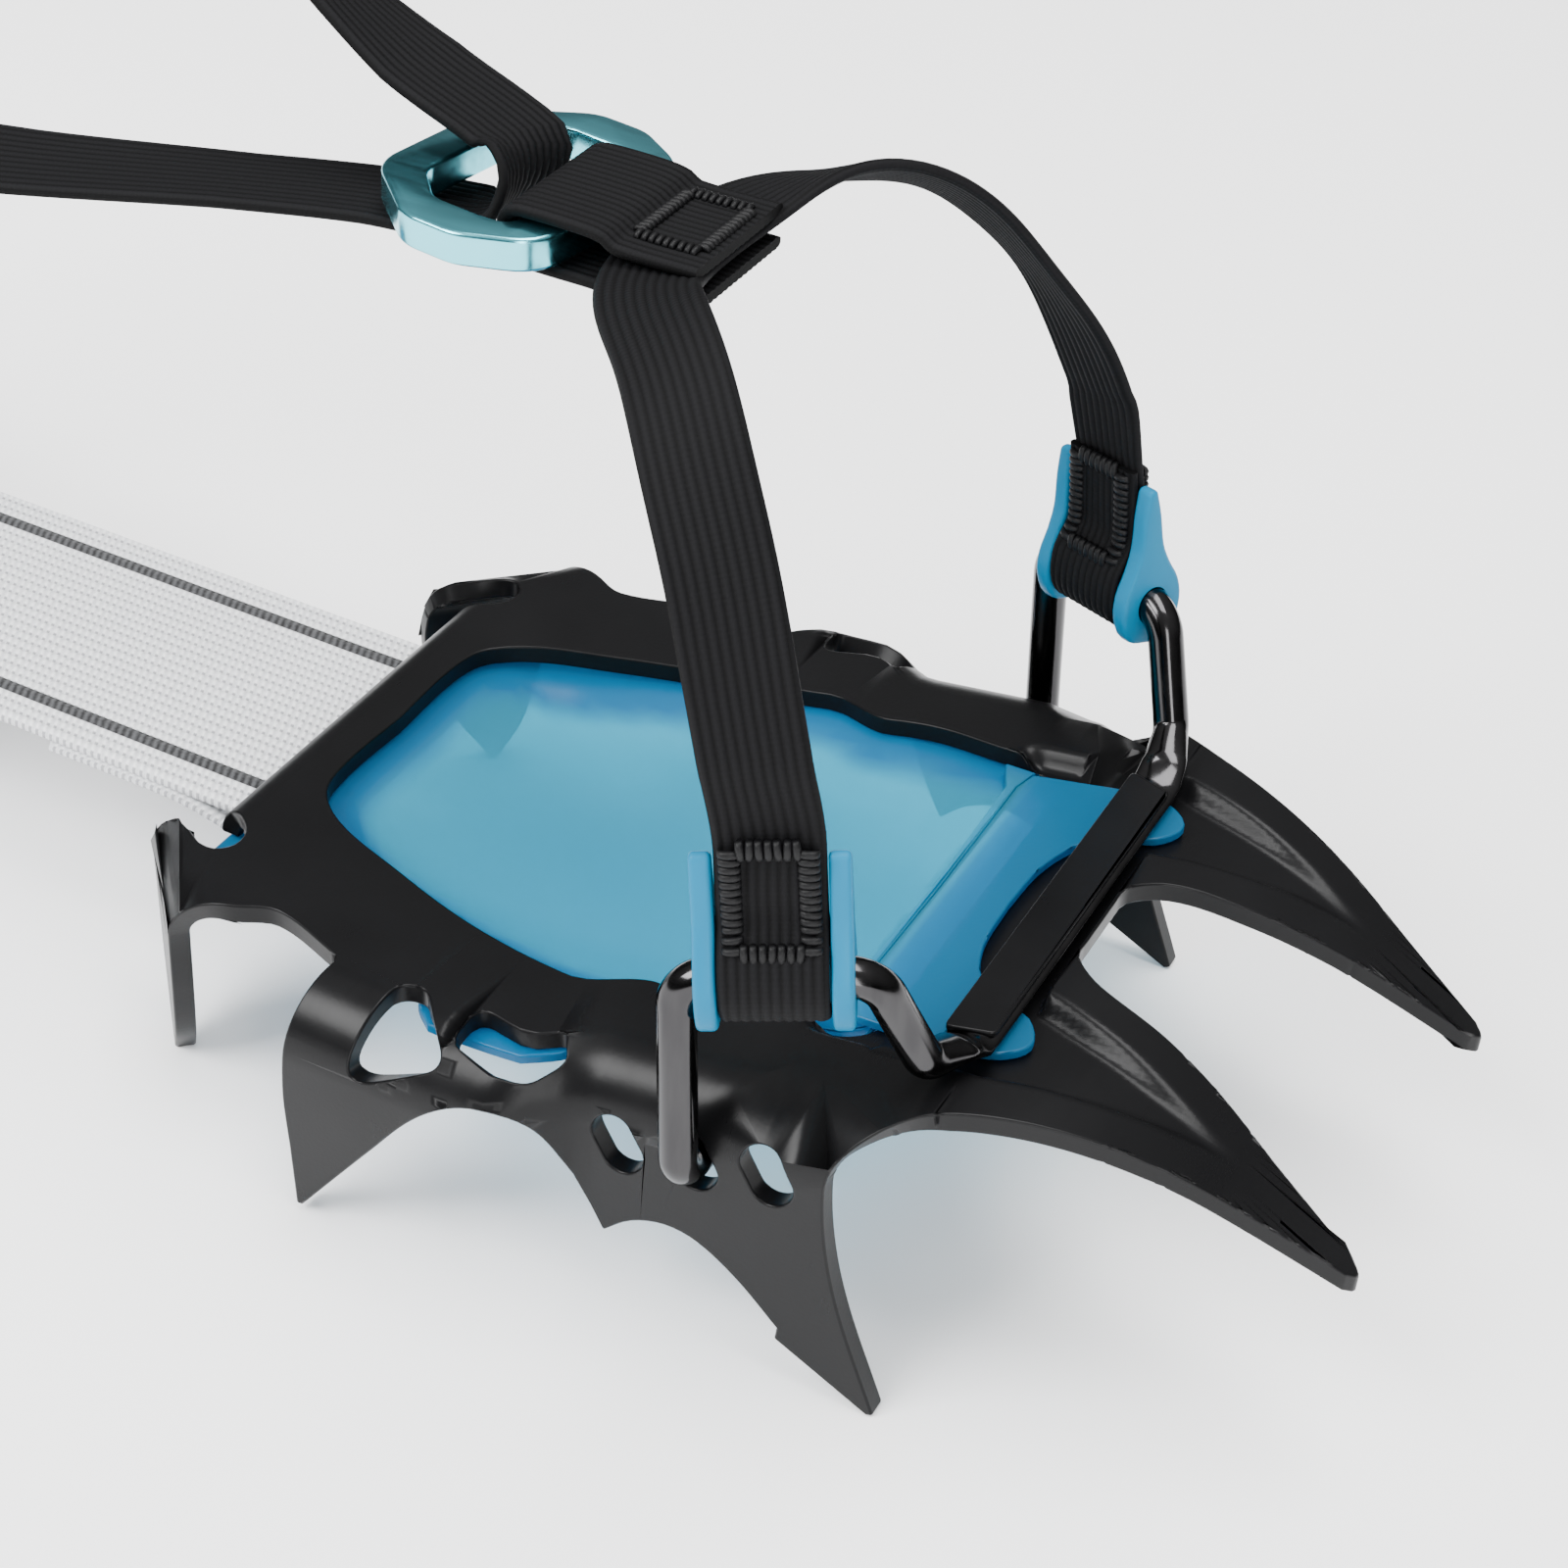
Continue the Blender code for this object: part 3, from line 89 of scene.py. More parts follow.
# ---- small node-graph language for the materials ----
class Graph:
    """Builds a material's nodes; every value is a socket or a number."""

    def __init__(self, name):
        self.material = bpy.data.materials.new(name)
        self.material.use_nodes = True
        self.tree = self.material.node_tree
        self.shader = self.tree.nodes["Principled BSDF"]
        self.output = self.tree.nodes["Material Output"]

    def add(self, kind, **settings):
        node = self.tree.nodes.new(kind)
        for key, value in settings.items():
            setattr(node, key, value)
        return node

    def feed(self, socket, value):
        if isinstance(value, bpy.types.NodeSocket):
            self.tree.links.new(value, socket)
        else:
            socket.default_value = value

    def math(self, operation, a, b=0.0):
        node = self.add("ShaderNodeMath", operation=operation)
        for socket, value in zip(node.inputs, (a, b)):
            self.feed(socket, value)
        return node.outputs[0]

    def place(self, kind="Object"):
        return self.add("ShaderNodeTexCoord").outputs[kind]

    def axes(self, vector):
        node = self.add("ShaderNodeSeparateXYZ")
        self.feed(node.inputs[0], vector)
        return node.outputs[:3]

    def noise(self, scale, detail=3.0, stretch=None):
        vector = self.place()
        if stretch:
            mapping = self.add("ShaderNodeMapping")
            self.feed(mapping.inputs["Vector"], vector)
            mapping.inputs["Scale"].default_value = stretch
            vector = mapping.outputs[0]
        node = self.add("ShaderNodeTexNoise")
        self.feed(node.inputs["Vector"], vector)
        node.inputs["Scale"].default_value = scale
        node.inputs["Detail"].default_value = detail
        return node.outputs[0]

    def remap(self, value, low, high, to_low, to_high):
        node = self.add("ShaderNodeMapRange")
        for socket, given in zip(node.inputs[:5], (value, low, high, to_low, to_high)):
            self.feed(socket, given)
        return node.outputs[0]

    def mix(self, amount, first, second):
        node = self.add("ShaderNodeMix", data_type="RGBA")
        self.feed(node.inputs[0], amount)
        self.feed(node.inputs[6], (*first, 1.0) if isinstance(first, tuple) else first)
        self.feed(node.inputs[7], (*second, 1.0) if isinstance(second, tuple) else second)
        return node.outputs[2]

    def bump(self, height, distance, strength):
        node = self.add("ShaderNodeBump")
        node.inputs["Strength"].default_value = strength
        node.inputs["Distance"].default_value = distance
        self.feed(node.inputs["Height"], height)
        return node.outputs[0]

    def finish(self, **inputs):
        for key, value in inputs.items():
            self.feed(self.shader.inputs[key.replace("_", " ")], value)
        return self.material


def steel_look():
    g = Graph("black coated steel")
    patch = g.noise(55, 4)
    grain = g.noise(1800, 2)
    brushed = g.noise(260, 3, stretch=(1, 9, 1))
    colour = g.mix(patch, (0.0025, 0.0025, 0.0028), (0.005, 0.005, 0.0055))
    rough = g.math("ADD", g.remap(patch, 0.3, 0.7, 0.24, 0.32), g.math("MULTIPLY", brushed, 0.06))
    normal = g.bump(grain, 0.00003, 0.3)
    return g.finish(Base_Color=colour, Roughness=rough, Specular_IOR_Level=0.15, Normal=normal)


def wire_look():
    g = Graph("dark polished wire")
    streak = g.noise(500, 3, stretch=(1, 1, 0.15))
    colour = g.mix(streak, (0.032, 0.031, 0.033), (0.06, 0.059, 0.06))
    rough = g.remap(streak, 0.3, 0.7, 0.10, 0.19)
    return g.finish(Base_Color=colour, Metallic=1.0, Roughness=rough, Normal=g.bump(streak, 0.00002, 0.15))


def pin_look():
    g = Graph("turned steel")
    rings = g.noise(900, 2, stretch=(1, 0.2, 0.2))
    return g.finish(Base_Color=g.mix(rings, (0.25, 0.25, 0.26), (0.42, 0.42, 0.43)), Metallic=1.0,
                    Roughness=g.remap(rings, 0.3, 0.7, 0.25, 0.4), Normal=g.bump(rings, 0.00003, 0.3))


def elastomer_look():
    """Clear tinted elastomer: light passes straight through, with its colour, and some is scattered."""
    g = Graph("blue translucent elastomer")
    cloud = g.noise(28, 2)
    specks = g.noise(1500, 1)
    grain = g.bump(specks, 0.00004, 0.35)
    # Painted shade: the membrane is darker and less clear along the rim of the opening, where the steel wall
    # shades it, and under the steel.
    rim_shade = g.add("ShaderNodeAttribute", attribute_name="rim_shade").outputs["Fac"]
    open_colour = g.mix(cloud, (0.03, 0.32, 0.44), (0.045, 0.36, 0.48))
    rim_shade_colour = g.mix(cloud, (0.008, 0.15, 0.29), (0.014, 0.175, 0.33))
    g.finish(Base_Color=g.mix(rim_shade, open_colour, rim_shade_colour), Roughness=0.28, Specular_IOR_Level=0.4,
             Normal=grain)
    clear = g.add("ShaderNodeBsdfTransparent")
    g.feed(clear.inputs[0], g.mix(rim_shade, (0.20, 0.66, 0.78), (0.10, 0.50, 0.72)))
    glow = g.add("ShaderNodeBsdfTranslucent")
    g.feed(glow.inputs[0], g.mix(rim_shade, (0.07, 0.50, 0.66), (0.015, 0.24, 0.46)))
    body = g.add("ShaderNodeMixShader")
    body.inputs[0].default_value = 0.5
    g.feed(body.inputs[1], g.shader.outputs[0])
    g.feed(body.inputs[2], glow.outputs[0])
    whole = g.add("ShaderNodeMixShader")
    g.feed(whole.inputs[0], g.remap(rim_shade, 0.0, 1.0, 0.55, 0.22))
    g.feed(whole.inputs[1], body.outputs[0])
    g.feed(whole.inputs[2], clear.outputs[0])
    g.feed(g.output.inputs[0], whole.outputs[0])
    return g.material


def guard_look():
    g = Graph("cyan moulded polymer")
    cloud = g.noise(60, 2)
    colour = g.mix(cloud, (0.0, 0.12, 0.235), (0.0, 0.14, 0.26))
    return g.finish(Base_Color=colour, Roughness=0.36, Specular_IOR_Level=0.09, Subsurface_Weight=0.05,
                    Subsurface_Scale=0.004, Normal=g.bump(g.noise(1400, 2), 0.00004, 0.3))


def anodised_look():
    g = Graph("teal anodised aluminium")
    brushed = g.noise(700, 3, stretch=(1, 0.12, 1))
    colour = g.mix(g.noise(40, 2), (0.13, 0.55, 0.66), (0.19, 0.64, 0.74))
    return g.finish(Base_Color=colour, Metallic=1.0, Roughness=g.remap(brushed, 0.3, 0.7, 0.17, 0.27),
                    Normal=g.bump(brushed, 0.00003, 0.25))


def polymer_look():
    g = Graph("black moulded polymer")
    spark = g.noise(1300, 3)
    colour = g.mix(g.noise(45, 3), (0.004, 0.004, 0.0045), (0.008, 0.008, 0.0085))
    return g.finish(Base_Color=colour, Roughness=g.remap(spark, 0.3, 0.7, 0.38, 0.55),
                    Specular_IOR_Level=0.22, Normal=g.bump(spark, 0.00006, 0.5))


def webbing_look():
    """Black webbing: lengthwise ribs crossed by fine yarns, from the UVs, which are in millimetres."""
    g = Graph("black ribbed webbing")
    across, along, _ = g.axes(g.place("UV"))
    rib = g.math("SINE", g.math("MULTIPLY", g.math("FRACT", g.math("DIVIDE", across, RIB_PITCH)), math.pi))
    weft = g.math("SINE", g.math("MULTIPLY", along, 2 * math.pi / WEFT_PITCH))
    fuzz = g.noise(3000, 2)
    height = g.math("ADD", g.math("MULTIPLY", weft, 0.14), g.math("MULTIPLY", fuzz, 0.6))
    height = g.math("ADD", g.math("MULTIPLY", rib, 1.6), height)
    # Painted shade: the colour is darker in the grooves between the ribs and between the cross yarns and lighter
    # on their crowns; the fuzz adds random tone.
    groove_shade_and_fuzz = g.math("ADD", g.math("MULTIPLY", rib, 0.75), g.math("MULTIPLY", fuzz, 0.45))
    groove_shade_and_fuzz = g.math("ADD", g.math("MULTIPLY", weft, 0.05), groove_shade_and_fuzz)
    colour = g.mix(g.remap(groove_shade_and_fuzz, 0.25, 1.05, 0.0, 1.0), (0.0010, 0.0010, 0.0012), (0.0042, 0.0042, 0.0050))
    return g.finish(Base_Color=colour, Roughness=0.75, Specular_IOR_Level=0.12,
                    Normal=g.bump(height, 0.00006, 0.6))


def thread_look():
    g = Graph("black thread")
    twist = g.noise(2600, 2)
    return g.finish(Base_Color=g.mix(twist, (0.0012, 0.0012, 0.0015), (0.005, 0.005, 0.0058)), Roughness=0.5,
                    Specular_IOR_Level=0.2, Normal=g.bump(twist, 0.00008, 0.6))


def link_look():
    """White webbing with twisted cords and two dark lines; UVs are in millimetres from one edge."""
    g = Graph("white corded webbing")
    across, along, _ = g.axes(g.place("UV"))
    centre = g.math("ABSOLUTE", g.math("SUBTRACT", across, LINK_WIDTH / 2))
    from_line = g.math("ABSOLUTE", g.math("SUBTRACT", centre, LINK_LINE_OFFSET))
    line = g.math("LESS_THAN", from_line, LINK_LINE_HALF_WIDTH)
    slant = g.math("ADD", g.math("MULTIPLY", along, 2 * math.pi / CORD_TWIST_PITCH),
                   g.math("MULTIPLY", across, 2 * math.pi / CORD_PITCH * 0.5))
    twist = g.math("SINE", slant)
    fuzz = g.noise(2200, 3)
    # Painted shade and light: each cord is lighter and darker along its twist; the fuzz adds random tone.
    twist_shade_and_fuzz = g.remap(g.math("ADD", g.math("MULTIPLY", twist, 0.35), fuzz), 0.1, 0.9, 0.0, 1.0)
    cord = g.math("SINE", g.math("MULTIPLY", g.math("FRACT", g.math("DIVIDE", across, CORD_PITCH)), math.pi))
    # Painted shade: dark slanted marks in the grooves between the cords.
    groove_shade = g.math("MULTIPLY", g.remap(cord, 0.35, 0.62, 1.0, 0.0), g.remap(twist, -0.2, 0.5, 0.0, 1.0))
    white = g.mix(twist_shade_and_fuzz, (0.50, 0.51, 0.53), (0.74, 0.75, 0.76))
    white = g.mix(g.math("MULTIPLY", groove_shade, 0.8), white, (0.16, 0.165, 0.18))
    dark = g.mix(twist_shade_and_fuzz, (0.006, 0.006, 0.007), (0.06, 0.062, 0.066))
    height = g.math("ADD", g.math("MULTIPLY", twist, 0.6), g.math("MULTIPLY", fuzz, 0.5))
    return g.finish(Base_Color=g.mix(line, white, dark), Roughness=0.8, Sheen_Weight=0.1,
                    Normal=g.bump(height, 0.00016, 0.8))


STEEL = steel_look()
WIRE = wire_look()
PIN = pin_look()
ELASTOMER = elastomer_look()
GUARD = guard_look()
ANODISED = anodised_look()
POLYMER = polymer_look()
WEBBING = webbing_look()
THREAD = thread_look()
LINK = link_look()


# ---- outlines, in millimetres ----
def smooth(points, step=1.2):
    """A curve through the points."""
    knots = [Vector(p) for p in points]
    lengths = [(b - a).length for a, b in zip(knots, knots[1:])]
    slopes = []
    for i in range(len(knots)):
        low = max(i - 1, 0)
        high = min(i + 1, len(knots) - 1)
        slopes.append((knots[high] - knots[low]) / sum(lengths[low:high]))
    curve = [knots[0]]
    for i, length in enumerate(lengths):
        count = max(1, round(length / step))
        for k in range(1, count + 1):
            t = k / count
            here = knots[i] * (2 * t**3 - 3 * t**2 + 1) + knots[i + 1] * (3 * t**2 - 2 * t**3)
            turn = slopes[i] * (t**3 - 2 * t**2 + t) + slopes[i + 1] * (t**3 - t**2)
            curve.append(here + turn * length)
    return curve


def rounded(points, radius, steps=8):
    """A closed outline with rounded corners."""
    corners = [Vector(p) for p in points]
    outline = []
    for i, corner in enumerate(corners):
        before = (corners[i - 1] - corner).normalized()
        after = (corners[(i + 1) % len(corners)] - corner).normalized()
        half = before.angle(after) / 2
        reach = min(radius / math.tan(half), 0.49 * (corners[i - 1] - corner).length,
                    0.49 * (corners[(i + 1) % len(corners)] - corner).length)
        first = corner + before * reach
        last = corner + after * reach
        for k in range(steps + 1):
            t = k / steps
            outline.append(first * (1 - t) ** 2 + corner * 2 * t * (1 - t) + last * t**2)
    return outline


def straight(*points):
    return [Vector(p) for p in points]


def joined(stretches):
    outline = list(stretches[0])
    for stretch in stretches[1:]:
        outline += stretch[1:]
    return outline


def mirrored(half):
    other = [Vector((-p.x, p.y)) for p in reversed(half)]
    return list(half) + [p for p in other if abs(p.x) > 1e-6]


def flipped(outline):
    return [Vector((-p.x, p.y)) for p in outline]


def sided(p, side):
    return Vector((side * p.x, p.y, p.z))


# ---- meshes, in millimetres ----
def flat_sheet(loops, thickness):
    """A filled 2D outline with holes, with its top face at z = 0."""
    curve = bpy.data.curves.new("outline", "CURVE")
    curve.dimensions = "2D"
    curve.fill_mode = "BOTH"
    curve.extrude = thickness / 2
    for loop in loops:
        spline = curve.splines.new("POLY")
        spline.points.add(len(loop) - 1)
        for point, place in zip(spline.points, loop):
            point.co = (place.x, place.y, 0.0, 1.0)
        spline.use_cyclic_u = True
    holder = add_object("outline", curve)
    bpy.context.view_layer.update()
    sheet = evaluated(holder)
    bpy.data.objects.remove(holder, do_unlink=True)
    bmesh.ops.remove_doubles(sheet, verts=sheet.verts, dist=0.0001)
    bmesh.ops.translate(sheet, verts=sheet.verts, vec=(0, 0, -thickness / 2))
    bmesh.ops.recalc_face_normals(sheet, faces=sheet.faces)
    return sheet


def split(mesh, place, normal, where=None):
    """Cuts the faces along a plane, and marks the cut for merge_flat to keep."""
    faces = [f for f in mesh.faces if where is None or where(f.calc_center_median())]
    edges = {e for f in faces for e in f.edges}
    verts = {v for f in faces for v in f.verts}
    cut = bmesh.ops.bisect_plane(mesh, geom=[*faces, *edges, *verts], dist=0.0002, plane_co=place, plane_no=normal)
    for part in cut["geom_cut"]:
        if isinstance(part, bmesh.types.BMEdge):
            part.seam = True


def merge_flat(mesh):
    """Joins the coplanar faces that no marked cut parts."""
    inner = [e for e in mesh.edges if not e.seam and e.is_manifold and e.calc_face_angle(1.0) < 0.001]
    bmesh.ops.dissolve_edges(mesh, edges=inner, use_verts=False)
    bmesh.ops.dissolve_verts(mesh, verts=[v for v in mesh.verts if len(v.link_edges) == 2])
    for edge in mesh.edges:
        edge.seam = False


def warp(mesh, fold):
    for vertex in mesh.verts:
        vertex.co = fold(vertex.co)
    mesh.normal_update()


def piece(name, mesh, look, body, stands_for=(), sharp=40):
    """Makes the object in metres, and lets it ride on its body."""
    bmesh.ops.scale(mesh, verts=mesh.verts, vec=(MM, MM, MM))
    data = baked(name, mesh)
    data.materials.append(look)
    made = add_object(name, data)
    data.shade_smooth()
    if sharp:
        data.set_sharp_from_angle(angle=math.radians(sharp))
    if body:
        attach(made, body)
    if stands_for:
        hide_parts(*stands_for)
    return made


def loft(rings, caps=True, uvs=None):
    """A skin over rings of points; uvs gives a (u, v) for each point, for a cloth pattern."""
    mesh = bmesh.new()
    layer = mesh.loops.layers.uv.new("cloth") if uvs else None
    made = [[mesh.verts.new(p) for p in ring] for ring in rings]
    count = len(rings[0])
    for i in range(len(made) - 1):
        j = i + 1
        for k in range(count):
            n = (k + 1) % count
            face = mesh.faces.new((made[i][k], made[i][n], made[j][n], made[j][k]))
            if layer:
                for loop, spot in zip(face.loops, ((i, k), (i, n), (j, n), (j, k))):
                    loop[layer].uv = uvs[spot[0]][spot[1]]
    if caps:
        mesh.faces.new(list(reversed(made[0])))
        mesh.faces.new(made[-1])
    bmesh.ops.recalc_face_normals(mesh, faces=mesh.faces)
    return mesh


def bent_path(corners, radii, steps):
    """Straight stretches through the corners, with an arc at each."""
    knots = [Vector(p) for p in corners]
    path = [knots[0]]
    for i in range(1, len(knots) - 1):
        before = (knots[i - 1] - knots[i]).normalized()
        after = (knots[i + 1] - knots[i]).normalized()
        half = before.angle(after) / 2
        reach = radii[i - 1] / math.tan(half)
        middle = knots[i] + (before + after).normalized() * (radii[i - 1] / math.sin(half))
        first = knots[i] + before * reach - middle
        last = knots[i] + after * reach - middle
        axis = first.cross(last)
        for k in range(steps + 1):
            path.append(middle + Quaternion(axis, first.angle(last) * k / steps) @ first)
    path.append(knots[-1])
    return path


def tangents(path):
    return [(path[min(i + 1, len(path) - 1)] - path[max(i - 1, 0)]).normalized() for i in range(len(path))]


def tube(path, radii, sides=40):
    """Elliptical rings along a path; radii gives (sideways, upright) for each place."""
    side = Vector((0, 1, 0))
    rings = []
    for spot, along, (wide, tall) in zip(path, tangents(path), radii):
        side = (side - along * side.dot(along)).normalized()
        up = along.cross(side)
        rings.append([
            spot + side * wide * math.cos(2 * math.pi * (k + 0.5) / sides)
            + up * tall * math.sin(2 * math.pi * (k + 0.5) / sides)
            for k in range(sides)
        ])
    return rings


def blend(low, high, value):
    """0 to 1, smoothly, as the value goes from low to high."""
    t = min(max((value - low) / (high - low), 0.0), 1.0)
    return t * t * (3 - 2 * t)


def resample(path, chords, step):
    """A smooth curve through the places, with the width directions carried along."""
    knots = [Vector(p) for p in path]
    ways = [Vector(c).normalized() for c in chords]
    fine = []
    fine_ways = []
    for i in range(len(knots) - 1):
        before = knots[max(i - 1, 0)]
        after = knots[min(i + 2, len(knots) - 1)]
        length = (knots[i + 1] - knots[i]).length
        start = (knots[i + 1] - before).normalized() * length
        finish = (after - knots[i]).normalized() * length
        count = max(1, round(length / step))
        for k in range(count):
            t = k / count
            fine.append(knots[i] * (2 * t**3 - 3 * t**2 + 1) + knots[i + 1] * (3 * t**2 - 2 * t**3)
                        + start * (t**3 - 2 * t**2 + t) + finish * (t**3 - t**2))
            fine_ways.append(ways[i].lerp(ways[i + 1], t))
    fine.append(knots[-1])
    fine_ways.append(ways[-1])
    return fine, fine_ways


def band_rings(path, chords, width, thickness, pitch, relief):
    """Rings and UVs, in millimetres, of a flat band whose two faces have lengthwise ribs."""
    columns = max(8, round(width / pitch * 6))
    profile = []
    for k in range(columns + 1):
        u = width * k / columns
        edge = min(u, width - u)
        height = thickness / 2 * math.sqrt(min(1.0, (edge + 0.12) / 0.7))
        ripple = relief * (abs(math.sin(math.pi * u / pitch)) - 0.64)
        profile.append((u, height + ripple * min(1.0, edge / 0.7)))
    section = profile + [(u, -h) for u, h in reversed(profile)]
    rings = []
    uvs = []
    gone = 0.0
    last = path[0]
    for spot, along, chord in zip(path, tangents(path), chords):
        gone += (spot - last).length
        last = spot
        across = (chord - along * along.dot(chord)).normalized()
        face = along.cross(across).normalized()
        rings.append([spot + across * (u - width / 2) + face * h for u, h in section])
        uvs.append([(u, gone) for u, h in section])
    return rings, uvs


def combined(base, changes):
    """The base mesh after each (mesh, operation) Boolean."""
    target = add_object("tool", baked("tool", base))
    tools = []
    for mesh, operation in changes:
        tool = add_object("tool", baked("tool", mesh))
        tools.append(tool)
        change = target.modifiers.new("cut", "BOOLEAN")
        change.operation = operation
        change.object = tool
        change.solver = "EXACT"
    bpy.context.view_layer.update()
    mesh = evaluated(target)
    for used in [target, *tools]:
        bpy.data.objects.remove(used, do_unlink=True)
    bmesh.ops.remove_doubles(mesh, verts=mesh.verts, dist=0.001)
    return mesh


def bevelled(made, width, angle):
    """Rounds the hard edges of an object, by a width in millimetres."""
    edge = made.modifiers.new("edges", "BEVEL")
    edge.width = width * MM
    edge.segments = 2
    edge.limit_method = "ANGLE"
    edge.angle_limit = math.radians(angle)
    edge.use_clamp_overlap = False
    edge.harden_normals = True


def round_edges(mesh, width):
    hard = [edge for edge in mesh.edges if edge.calc_face_angle(0) > 1]
    bmesh.ops.bevel(mesh, geom=hard, offset=width, segments=4, profile=0.5, affect="EDGES")


def rod(start, end, diameter, sides=32):
    along = Vector(end) - Vector(start)
    mesh = bmesh.new()
    turn = along.to_track_quat("Z", "Y").to_matrix().to_4x4()
    bmesh.ops.create_cone(mesh, cap_ends=True, segments=sides, radius1=diameter / 2, radius2=diameter / 2,
                          depth=along.length, matrix=Matrix.Translation((Vector(start) + Vector(end)) / 2) @ turn)
    return mesh


def block(centre, size, bevel=0.0):
    mesh = bmesh.new()
    bmesh.ops.create_cube(mesh, size=1.0, matrix=Matrix.Translation(centre) @ Matrix.Diagonal((*size, 1.0)))
    if bevel:
        bmesh.ops.bevel(mesh, geom=mesh.edges[:], offset=bevel, segments=4, profile=0.5, affect="EDGES")
    return mesh


def slab(loops, low, high, lines_x, lines_y):
    """A sheet between two height functions of x and y."""
    sheet = flat_sheet(loops, 1.0)
    for x in lines_x:
        split(sheet, (x, 0, 0), (1, 0, 0))
    for y in lines_y:
        split(sheet, (0, y, 0), (0, 1, 0))
    merge_flat(sheet)

    def lift(p):
        return Vector((p.x, p.y, high(p.x, p.y) * (1 + p.z) - low(p.x, p.y) * p.z))

    warp(sheet, lift)
    return sheet


# ---- the front plate, with the dimensions of the CAD part ----
SHEET = 3.0
GAP = 0.4
REAR_HALF_WIDTH = 49.5
FRONT_HALF_WIDTH = 43.0
REAR_BEND = 10.0
FRONT_BEND = 9.3
CORNER_BEND = 8.0
CORNER_NORMAL = Vector((0.68, 0.73)).normalized()
CORNER_BEND_AT = 28.0
FLANGE_FROM = -20.5
ROLL_START = 3.5
ROLL_RADIUS = 5.0
TOE_SLOPE = 0.155
TROUGH_DEPTH = 2.8
NARROW_FROM = -52
NARROW_TO = -64
TOE_RISE_FROM = -35
TOE_SLOPE_FROM = -55
POINTS_FROM = -104


def sole_height(y):
    """Height of the plate's top face along the foot."""
    if y > TOE_RISE_FROM:
        return 0.0
    if y > TOE_SLOPE_FROM:
        return TOE_SLOPE * (TOE_RISE_FROM - y) ** 2 / 40
    if y > POINTS_FROM:
        return TOE_SLOPE * (-45 - y)
    past = min(POINTS_FROM - y, 36)
    return TOE_SLOPE * (59 + past) - 0.0098 * past**2 - 0.55 * max(-140 - y, 0)


def bend_start(y):
    if y >= NARROW_FROM:
        return REAR_HALF_WIDTH
    return REAR_HALF_WIDTH + (FRONT_HALF_WIDTH - REAR_HALF_WIDTH) * blend(NARROW_FROM, NARROW_TO, y)


# Places on the flat blank: on the top, on the side flange, and on the rear corner's flange.
def plan(x, y):
    return Vector((x * FRONT_HALF_WIDTH / bend_start(y), y))


def flange(y, run):
    return Vector((FRONT_HALF_WIDTH + run, y))


def corner(along, run):
    way = Vector((CORNER_NORMAL.y, -CORNER_NORMAL.x))
    spot = CORNER_NORMAL * (CORNER_BEND_AT + run) + way * along
    return plan(spot.x, spot.y)


def trace(place, *spots):
    return [place(*spot) for spot in spots]


ROLL_END = ROLL_START + ROLL_RADIUS * math.pi / 2 + 0.3
PLATE_HALF = joined([
    trace(plan, (0, ROLL_END), (30, ROLL_END), (30, 7)),
    smooth(trace(plan, (30, 7), (31, 4), (33.5, 1.5), (36.5, 1.2), (38.5, 3), (38.2, 6), (36.5, 9)), 0.8),
    smooth([plan(36.5, 9), *trace(corner, (16, 6), (13, 13), (13, 21), (16, 30), (23.3, 41.6))]),
    trace(corner, (23.3, 41.6), (24.3, 41.6)),
    smooth([*trace(corner, (24.3, 41.6), (28.5, 35), (31.5, 24.6), (33.5, 14), (36, 6)),
            *trace(plan, (47.2, -6.5), (44.9, -12), (48.2, -23.4))]),
    [plan(48.2, -23.4), flange(-24, 0)],
    smooth(trace(flange, (-24, 0), (-22.7, 12), (-22.1, 22), (-22.7, 31), (-23.4, 41.8))),
    trace(flange, (-23.4, 41.8), (-24.4, 41.6)),
    smooth(trace(flange, (-24.4, 41.6), (-35.8, 25.8), (-42.1, 17.6), (-47.5, 13.3), (-53.2, 12.1), (-57.5, 14.8),
                 (-61.6, 22.9), (-66.9, 33.2))),
    smooth(trace(flange, (-66.9, 33.2), (-71, 30), (-75.8, 28.9), (-80.5, 30.2), (-86.5, 34.8), (-92.5, 41.2))),
    trace(flange, (-92.5, 41.2), (-92.3, 43.2)),
    trace(flange, (-92.3, 43.2), (-106, 51.9), (-107, 51.6)),
    smooth([*trace(flange, (-107, 51.6), (-101.6, 37.4), (-98.9, 27.8), (-97.5, 18), (-97.9, 11.6), (-101.5, 6)),
            *trace(plan, (44.4, -106.5), (40.6, -114.5), (34.2, -132.5), (30.5, -143.5), (26.8, -156.2))]),
    smooth(trace(plan, (26.8, -156.2), (25.3, -157.6), (23.6, -156.2)), 0.6),
    smooth(trace(plan, (23.6, -156.2), (20, -143), (17, -134), (14.6, -126), (11.8, -115.5), (8, -110.8),
                 (4, -110.5), (0, -110.5))),
])
OPENING_HALF = smooth(trace(
    plan, (0, -1.6), (13, -1.2), (20, -2.6), (25, -8.5), (29.2, -20), (32.8, -31.5), (35.2, -43), (35.6, -57),
    (34.3, -70), (32.6, -82), (31.2, -90), (27.5, -93), (14, -93), (0, -93)))


def tilted_slot(y, run, length=9.5, width=5.8, lean=28.0):
    """A round-ended slot in the side flange."""
    turn = math.radians(lean)
    way = Vector((math.cos(turn), -math.sin(turn)))
    across = Vector((-way.y, way.x)) * width / 2
    reach = way * (length - width) / 2
    slot = []
    for sign in (1, -1):
        for k in range(17):
            angle = math.pi * (k / 16 - 0.5)
            end = way * width / 2 * math.cos(angle) + across * math.sin(angle)
            slot.append(flange(y, run) + sign * (reach + end))
    return slot


